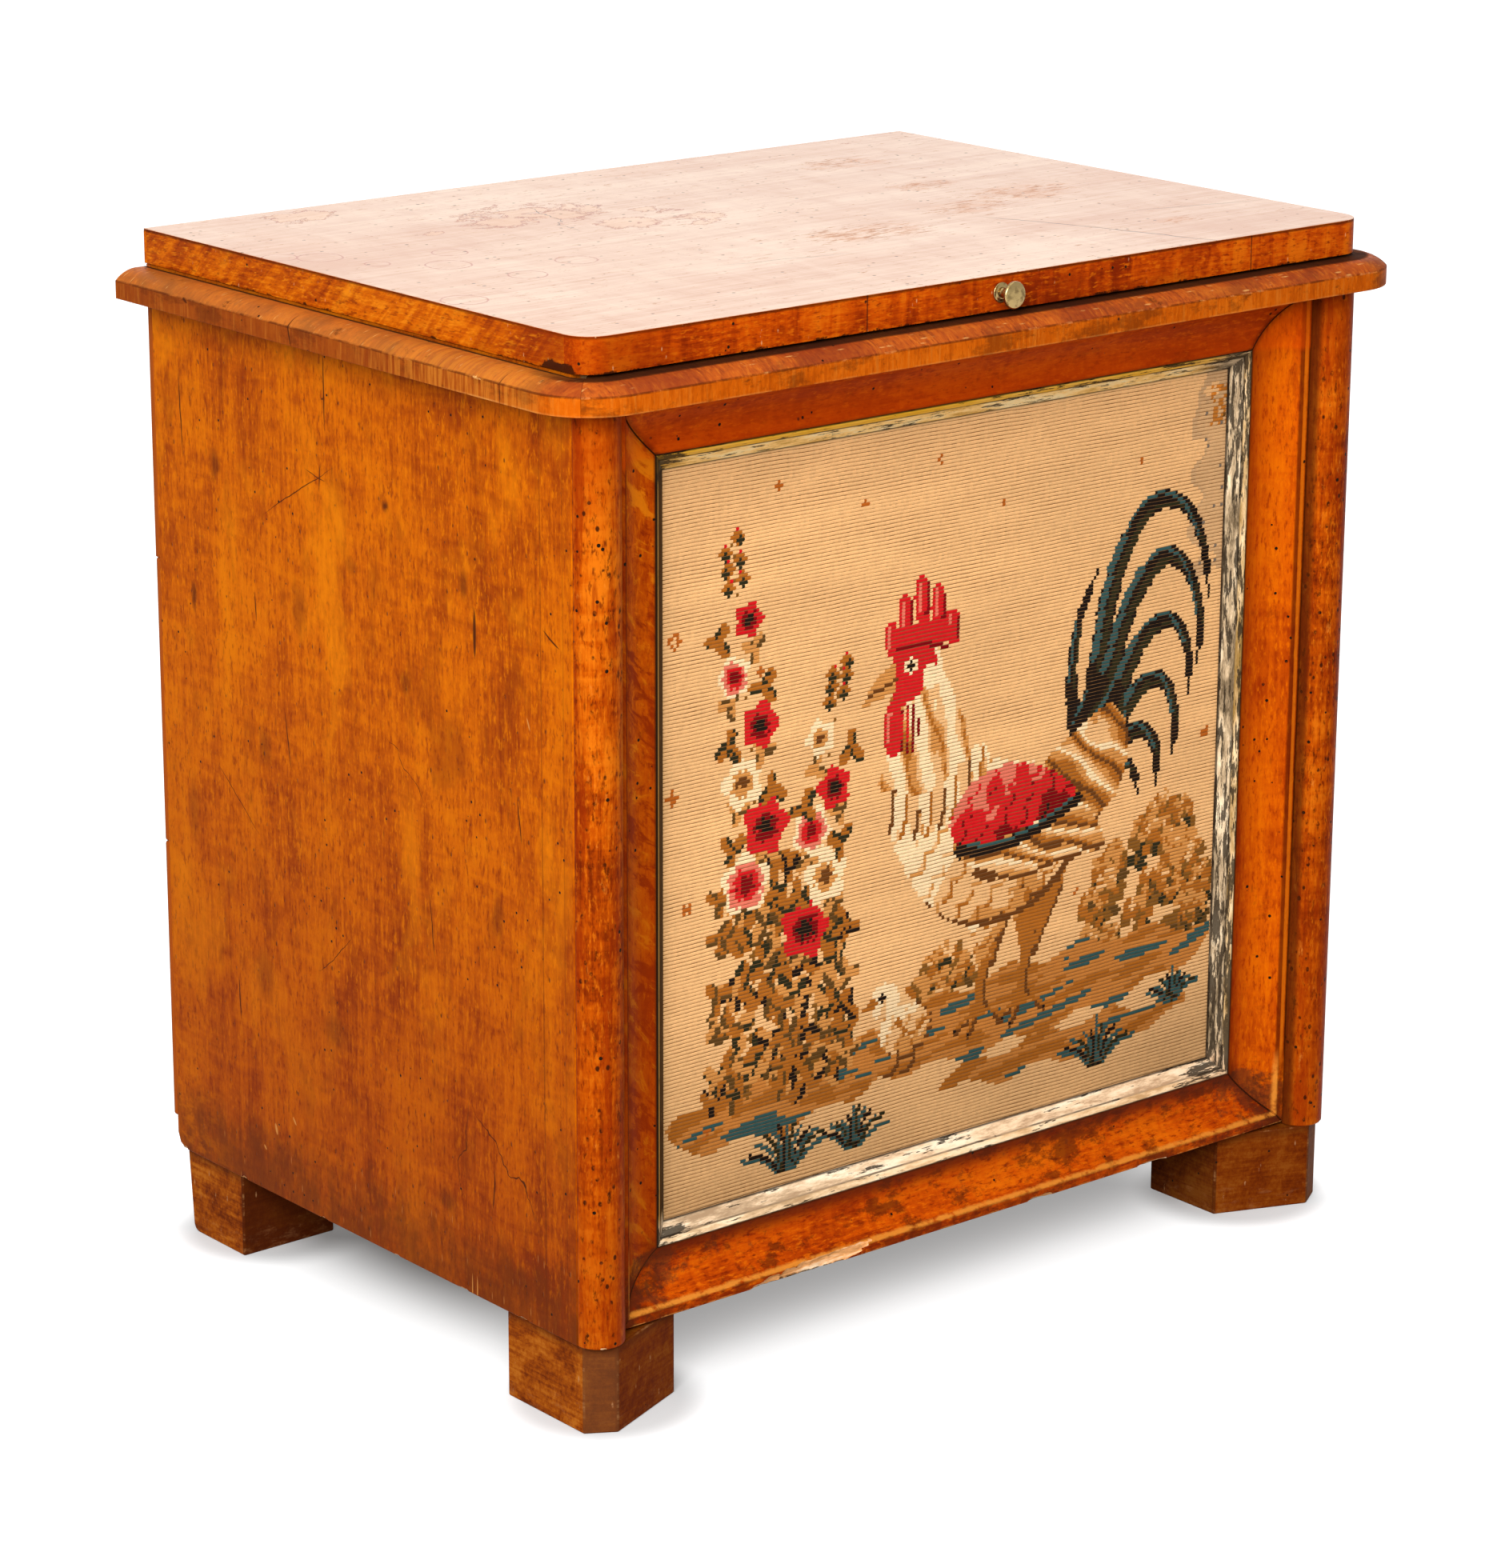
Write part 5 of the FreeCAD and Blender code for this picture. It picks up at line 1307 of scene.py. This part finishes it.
def cockerel(picture):
    """A large cockerel that faces left, cream and red, with a dark green tail."""
    tail(picture)
    cockerel_legs(picture)
    body = [(81, 128), (82, 136), (88, 140), (95, 137), (99, 126), (105, 114), (114, 105), (127, 100),
            (141, 99), (152, 104), (161, 108), (165, 97), (158, 82), (147, 70), (134, 61), (118, 58),
            (103, 61), (91, 70), (82, 84), (77, 99), (79, 113), (80, 122)]
    picture.shape([(x + 1.5, y - 1.5) for x, y in body], BROWN)
    picture.shape(body, plumage([BROWN, OCHRE, TAN, SAND, CREAM, CREAM],
                                (112, 86), (48, 36), (0.72, -0.69), 7, 7))
    picture.shape([(138, 98), (150, 105), (163, 110), (170, 99), (165, 84), (152, 79), (142, 88)],
                  hackles([OCHRE, TAN, SAND, CREAM, TAN, OCHRE, BROWN], (0.80, -0.60), 10))
    picture.shape([(81, 130), (88, 139), (96, 137), (102, 124), (109, 112), (116, 104), (112, 93), (99, 87),
                   (85, 89), (76, 100), (79, 115)],
                  hackles([TAN, SAND, CREAM, CREAM, CREAM, SAND, TAN, OCHRE], (0.26, -0.97), 11))
    for index in range(8):
        x, y = 79 + index * 4.6, 93 - 6 * math.sin(index * 0.45) + index * 0.9
        picture.shape([(x - 2, y + 7), (x + 2.5, y + 7), (x + 1.5, y), (x + 0.5, y - 4), (x - 1, y)],
                      CREAM if index % 2 else SAND)
        picture.line([(x + 2.5, y + 7), (x + 2, y), (x + 0.5, y - 4)], OCHRE if index % 2 else BROWN)
    picture.shape([(104, 88), (112, 97), (126, 99), (142, 94), (153, 85), (161, 71), (146, 70), (128, 68),
                   (113, 72), (104, 80)], hackles([TAN, CREAM, SAND, TAN, OCHRE, BROWN], (0.96, -0.28), 6.5))
    picture.shape([(102, 87), (110, 97), (125, 100), (141, 95), (150, 87), (138, 83), (122, 80), (108, 79)],
                  plumage([INK, CRIMSON, CRIMSON, SCARLET, SCARLET, ROSE],
                          (124, 88), (26, 12), (0.93, -0.37), 7, 6.5))
    picture.line([(106, 79), (122, 78), (138, 81), (151, 86)], INK, 4, 2)
    picture.line([(109, 80), (123, 79), (137, 82), (148, 86)], TEAL, 1.6)
    picture.line([(112, 72), (128, 68), (146, 70), (161, 71)], BROWN, 2.2, 1)
    cockerel_head(picture)


def chick(picture, x, y):
    picture.oval(x + 1, y + 7.5, 9.5, 7.2, BROWN)
    down = plumage([OCHRE, TAN, SAND, CREAM], (x, y + 8), (9, 7), (0.9, -0.4), 5, 5)
    picture.oval(x, y + 8.4, 9.0, 6.8, down)
    fluff = plumage([TAN, SAND, CREAM, CREAM], (x - 7, y + 17), (6, 6), (1, 0), 20, 20)
    picture.oval(x - 7, y + 17, 5.2, 5.0, fluff)
    picture.line([(x - 2, y + 10), (x + 3, y + 6), (x + 9, y + 10)], OCHRE, 2, 1)
    picture.line([(x - 11, y + 17), (x - 15, y + 16)], OCHRE, 2.4, 1)
    picture.oval(x - 8, y + 18, 1.1, 1.1, INK)
    for leg in (-2, 4):
        picture.line([(x + leg, y + 2), (x + leg - 1, y - 3), (x + leg - 5, y - 4)], BROWN, 1.4)


def hedge(picture):
    """Rounded bushes: a large one on the right and a low one in the middle."""
    dice = picture.dice
    for left, right, low, crown, count in ((156, 207, 36, 46, 34), (88, 112, 36, 16, 8)):
        sprays = []
        for _ in range(count):
            across = dice.random()
            lift = dice.random() ** 0.8 * math.sin(math.pi * (0.12 + across * 0.80)) * crown
            sprays.append((low + lift, left + across * (right - left)))
        for row, column in sorted(sprays, reverse=True):
            picture.clump(column, row, dice.uniform(5.0, 7.0))


def aged(picture):
    """Wear of the wool: each stitch a little its own, browned and soiled towards the edges."""
    dice = picture.dice
    spots = [(5, 152, 2.6), (4, 112, 2.2), (9, 82, 1.6), (70, 178, 1.4), (120, 172, 1.2), (150, 60, 1.3),
             (200, 96, 2.0), (34, 140, 1.3), (172, 176, 1.2), (16, 20, 1.5), (40, 187, 1.4), (97, 186, 1.2)]
    for row in range(ROWS):
        for column in range(COLUMNS):
            drift = noise.noise(Vector((column * 0.03, row * 0.05, 4.2)))
            streak = noise.noise(Vector((column * 0.012, row * 0.16, 9.1)))
            tint = 1.0 + drift * 0.08 + streak * 0.05 + dice.uniform(-0.04, 0.03)
            tint -= max(0.0, 1 - row / 52) * 0.36 + max(0.0, 1 - column / 24) * 0.08
            tint -= max(0.0, row / 30 - 5.2) * 0.05
            colour = picture.colours[row][column]
            for x, z, size in spots:
                if (column - x) ** 2 + (row - z) ** 2 < size ** 2 and dice.random() < 0.6:
                    colour = RUST_SPOT
            if column > 198 and 181 < row < 193 and dice.random() < 0.55:
                colour = (0.72, 0.23, 0.03)
            ragged = noise.noise(Vector((column * 0.10, row * 0.16, 3.3)))
            away = max(abs(row - 168 + ragged * 9) / 26, (206 - column) / (12 + ragged * 6))
            veil = 0.0 if away > 1 else 0.27 if away > 0.88 else 0.20
            if veil and dice.random() < 0.03:
                veil = 0.7
            picture.colours[row][column] = tuple(
                max(0.0, min(1.0, c * tint * (1 - veil * strength)))
                for c, strength in zip(colour, (1.1, 1.0, 0.7)))


def stitched_picture():
    picture = Picture(PICTURE_SEED)
    hedge(picture)
    picture.meadow(2, 84, 22, 6, 9, 1.3)
    picture.meadow(60, 205, 28, 9, 10, 4.1)
    picture.meadow(100, 196, 15, 4, 4, 7.7)
    hollyhocks(picture)
    cockerel(picture)
    chick(picture, 86, 26)
    for column, row, spread in ((44, 4, 14), (68, 5, 11), (160, 8, 13), (190, 20, 9)):
        picture.tuft(column, row, spread, 13)
    aged(picture)
    return picture.colours


def one_stitch():
    """A short slanting stitch, raised along its middle, one unit wide and high."""
    shape = bmesh.new()
    lines = [[shape.verts.new((x, y, z)) for x in (-0.56 + lean, 0.56 + lean)]
             for lean, y, z in ((-0.10, 0, -0.45), (0, -1, 0), (0.10, 0, 0.45))]
    for (a, b), (c, d) in zip(lines, lines[1:]):
        shape.faces.new((a, b, d, c))
    mesh = mesh_from(shape, "one_stitch")
    mesh.shade_smooth()
    return named(mesh, "one_stitch")


def stitch_tree(stitch, material):
    """Sets the stitch on every point, each in its own size."""
    tree = bpy.data.node_groups.new("stitching", "GeometryNodeTree")
    face = tree.interface
    face.new_socket("Points", in_out="INPUT", socket_type="NodeSocketGeometry")
    for name in ("Stitch width", "Stitch height", "Stitch relief"):
        face.new_socket(name, in_out="INPUT", socket_type="NodeSocketFloat")
    face.new_socket("Seed", in_out="INPUT", socket_type="NodeSocketInt")
    face.new_socket("Stitches", in_out="OUTPUT", socket_type="NodeSocketGeometry")
    new, link = tree.nodes.new, tree.links.new
    start = new("NodeGroupInput")
    end = new("NodeGroupOutput")
    source = new("GeometryNodeObjectInfo")
    source.inputs["Object"].default_value = stitch
    uneven = new("FunctionNodeRandomValue")
    uneven.data_type = "FLOAT"
    uneven.inputs[2].default_value = STITCH_LEAST
    uneven.inputs[3].default_value = STITCH_MOST
    link(start.outputs["Seed"], uneven.inputs["Seed"])
    size = new("ShaderNodeCombineXYZ")
    link(start.outputs["Stitch width"], size.inputs["X"])
    link(start.outputs["Stitch relief"], size.inputs["Y"])
    link(start.outputs["Stitch height"], size.inputs["Z"])
    scale = new("ShaderNodeVectorMath")
    scale.operation = "SCALE"
    link(size.outputs[0], scale.inputs[0])
    link(uneven.outputs[1], scale.inputs["Scale"])
    put = new("GeometryNodeInstanceOnPoints")
    link(start.outputs["Points"], put.inputs["Points"])
    link(source.outputs["Geometry"], put.inputs["Instance"])
    link(scale.outputs[0], put.inputs["Scale"])
    real = new("GeometryNodeRealizeInstances")
    link(put.outputs[0], real.inputs[0])
    paint = new("GeometryNodeSetMaterial")
    paint.inputs["Material"].default_value = material
    link(real.outputs[0], paint.inputs["Geometry"])
    link(paint.outputs[0], end.inputs["Stitches"])
    return tree


def set_input(modifier, name, value):
    for item in modifier.node_group.interface.items_tree:
        if item.item_type == "SOCKET" and item.in_out == "INPUT" and item.name == name:
            modifier[item.identifier] = value


def needlework():
    colours = stitched_picture()
    face_y = CANVAS_LOW.y + 0.75 * MM
    points, paints = [], []
    for row in range(ROWS):
        for column in range(COLUMNS):
            sway = noise.noise(Vector((column * 0.05, row * 0.13, 2.0))) * 0.35 * PITCH_Z
            wander = noise.noise(Vector((column * 0.4, row * 0.4, 7.0))) * 0.10 * PITCH_X
            points.append(((column - (COLUMNS - 1) / 2) * PITCH_X + wander, face_y,
                           FRAME_MIDDLE + (row - (ROWS - 1) / 2) * PITCH_Z + sway))
            paints.extend((*colours[row][column], 1.0))
    mesh = bpy.data.meshes.new("needlework_points")
    mesh.from_pydata(points, [], [])
    layer = mesh.attributes.new("stitch", "FLOAT_COLOR", "POINT")
    layer.data.foreach_set("color", paints)
    piece = named(mesh, "needlework_stitches")
    stitch = one_stitch()
    sewing = piece.modifiers.new("stitching", "NODES")
    sewing.node_group = stitch_tree(stitch, wool())
    set_input(sewing, "Stitch width", PITCH_X)
    set_input(sewing, "Stitch height", PITCH_Z)
    set_input(sewing, "Stitch relief", STITCH_RELIEF)
    set_input(sewing, "Seed", STITCH_SEED)
    settled(piece)
    bpy.data.objects.remove(stitch)
    mark(piece.data, "leaf", [0.0] * len(piece.data.vertices))
    piece.data.shade_smooth()
    cloth = canvas_sheet(face_y)
    for part in (piece, cloth):
        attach(part, "box")
    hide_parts("needlework_canvas")


def canvas_sheet(face_y):
    """The canvas under the stitches, a thin flat cloth."""
    steps = 24
    shape = bmesh.new()
    width = CANVAS_HIGH.x - CANVAS_LOW.x
    height = CANVAS_HIGH.z - CANVAS_LOW.z
    rows = []
    for j in range(steps + 1):
        rows.append([shape.verts.new((CANVAS_LOW.x + width * i / steps, face_y,
                                      CANVAS_LOW.z + height * j / steps)) for i in range(steps + 1)])
    for lower, upper in zip(rows, rows[1:]):
        for i in range(steps):
            shape.faces.new((lower[i], lower[i + 1], upper[i + 1], upper[i]))
    mesh = mesh_from(shape, "canvas_cloth")
    mesh.materials.append(canvas_cloth())
    cloth = named(mesh, "canvas_cloth")
    thick = cloth.modifiers.new("thickness", "SOLIDIFY")
    thick.thickness = CLOTH_THICKNESS
    thick.offset = -1
    settled(cloth)
    mark(cloth.data, "leaf", [0.0] * len(cloth.data.vertices))
    return cloth


wooden_box()
feet()
inner_boards()
lid_boards()
gilding()
knob_fittings()
hinge_metal()
needlework()


# Floor, light and camera

def white_floor():
    mesh = bpy.data.meshes.new("studio_floor")
    reach = 30
    mesh.from_pydata([(-reach, -reach, 0), (reach, -reach, 0), (reach, reach, 0), (-reach, reach, 0)], [],
                     [(0, 1, 2, 3)])
    floor = named(mesh, "studio_floor")
    finish = Finish("pale_floor")
    seen = finish.node("ShaderNodeLightPath", out="Is Camera Ray").most(
        finish.node("ShaderNodeLightPath", out="Is Glossy Ray")).most(
        finish.node("ShaderNodeLightPath", out="Is Transmission Ray"))
    # Painted shadow: the floor's glow for the camera fades under the box, with less left towards the back.
    past_side = (abs(finish.x) + RIM_LOW.x).rising(-0.12, 0.03)
    past_front = (abs(finish.y) + RIM_LOW.y).rising(-0.14, 0.03)
    clear = past_side.most(past_front)
    painted_shadow_level = 0.01 + finish.y.rising(0.08, -0.10) * 0.32
    foot_x = abs(abs(finish.x) + (FOOT_LOW.x + FOOT_HIGH.x) / 2)
    front_y = abs(finish.y - (FOOT_LOW.y + FOOT_HIGH.y) / 2)
    back_y = abs(finish.y - (BACK_FOOT_LOW.y + BACK_FOOT_HIGH.y) / 2)
    away = (foot_x ** 2 + front_y.least(back_y) ** 2) ** 0.5
    # Painted contact shadows around the feet.
    painted_contact_shadow = away.rising(0.076, 0.044) * 0.60
    paper = finish.node("ShaderNodeBsdfDiffuse", inputs={"Color": (0.43, 0.43, 0.43, 1)})
    light = finish.node("ShaderNodeEmission", inputs={
        "Color": (1, 1, 1, 1), "Strength": seen * (painted_shadow_level + clear * (1 - painted_shadow_level)) * (1 - painted_contact_shadow)})
    finish.end(finish.node("ShaderNodeAddShader", inputs={0: paper, 1: light}))
    mesh.materials.append(finish.material)


def soft_light(name, place, aim, size, watts):
    light = bpy.data.lights.new(name, "AREA")
    light.shape = "RECTANGLE"
    light.size, light.size_y = size
    light.energy = watts
    lamp = bpy.data.objects.new(name, light)
    lamp.location = place
    lamp.rotation_euler = (Vector(aim) - Vector(place)).to_track_quat("-Z", "Y").to_euler()
    lamp.visible_camera = False
    bpy.context.scene.collection.objects.link(lamp)


def white_world(strength):
    world = bpy.data.worlds.new("studio")
    bpy.context.scene.world = world
    world.use_nodes = True
    nodes, links = world.node_tree.nodes, world.node_tree.links
    nodes.clear()
    path = nodes.new("ShaderNodeLightPath")
    seen = path.outputs["Is Camera Ray"]
    for ray in ("Is Glossy Ray", "Is Transmission Ray"):
        either = nodes.new("ShaderNodeMath")
        either.operation = "MAXIMUM"
        links.new(seen, either.inputs[0])
        links.new(path.outputs[ray], either.inputs[1])
        seen = either.outputs[0]
    level = nodes.new("ShaderNodeMapRange")
    level.inputs["To Min"].default_value = strength
    level.inputs["To Max"].default_value = 1.0
    links.new(seen, level.inputs["Value"])
    sky = nodes.new("ShaderNodeBackground")
    links.new(level.outputs[0], sky.inputs["Strength"])
    end = nodes.new("ShaderNodeOutputWorld")
    links.new(sky.outputs[0], end.inputs["Surface"])


CAMERA_YAW = math.radians(39.74)
CAMERA_PITCH = math.radians(16.624)
CAMERA_ROLL = math.radians(0.227)
CAMERA_PLACE = (-1.92697, -2.30680, 1.19706)
PHOTO_HEIGHT_PX = 1960
FOCAL_PX = 6009.85
SENSOR = 36.0


def camera():
    data = bpy.data.cameras.new("camera")
    data.sensor_width = SENSOR
    data.lens = FOCAL_PX * SENSOR / PHOTO_HEIGHT_PX
    data.clip_start, data.clip_end = 0.1, 100
    view = bpy.data.objects.new("camera", data)
    ahead = Vector((math.sin(CAMERA_YAW) * math.cos(CAMERA_PITCH),
                    math.cos(CAMERA_YAW) * math.cos(CAMERA_PITCH),
                    -math.sin(CAMERA_PITCH)))
    right = ahead.cross(Vector((0, 0, 1))).normalized()
    up = right.cross(ahead)
    cosine, sine = math.cos(CAMERA_ROLL), math.sin(CAMERA_ROLL)
    level = right * cosine + up * sine
    head = up * cosine - right * sine
    view.matrix_world = Matrix.Translation(CAMERA_PLACE) @ Matrix((level, head, -ahead)).transposed().to_4x4()
    bpy.context.scene.collection.objects.link(view)
    bpy.context.scene.camera = view


white_floor()
white_world(0.36)
soft_light("key_front_left", (-2.6, -2.4, 2.2), (0, 0, 0.35), (2.0, 2.0), 190)
soft_light("overhead", (-0.2, -0.3, 2.9), (0, 0, 0.3), (2.6, 2.2), 14)
soft_light("behind", (2.1, 2.7, 1.75), (0, 0, 0.66), (3.4, 1.6), 24)
camera()
bpy.context.scene.view_settings.view_transform = "Standard"
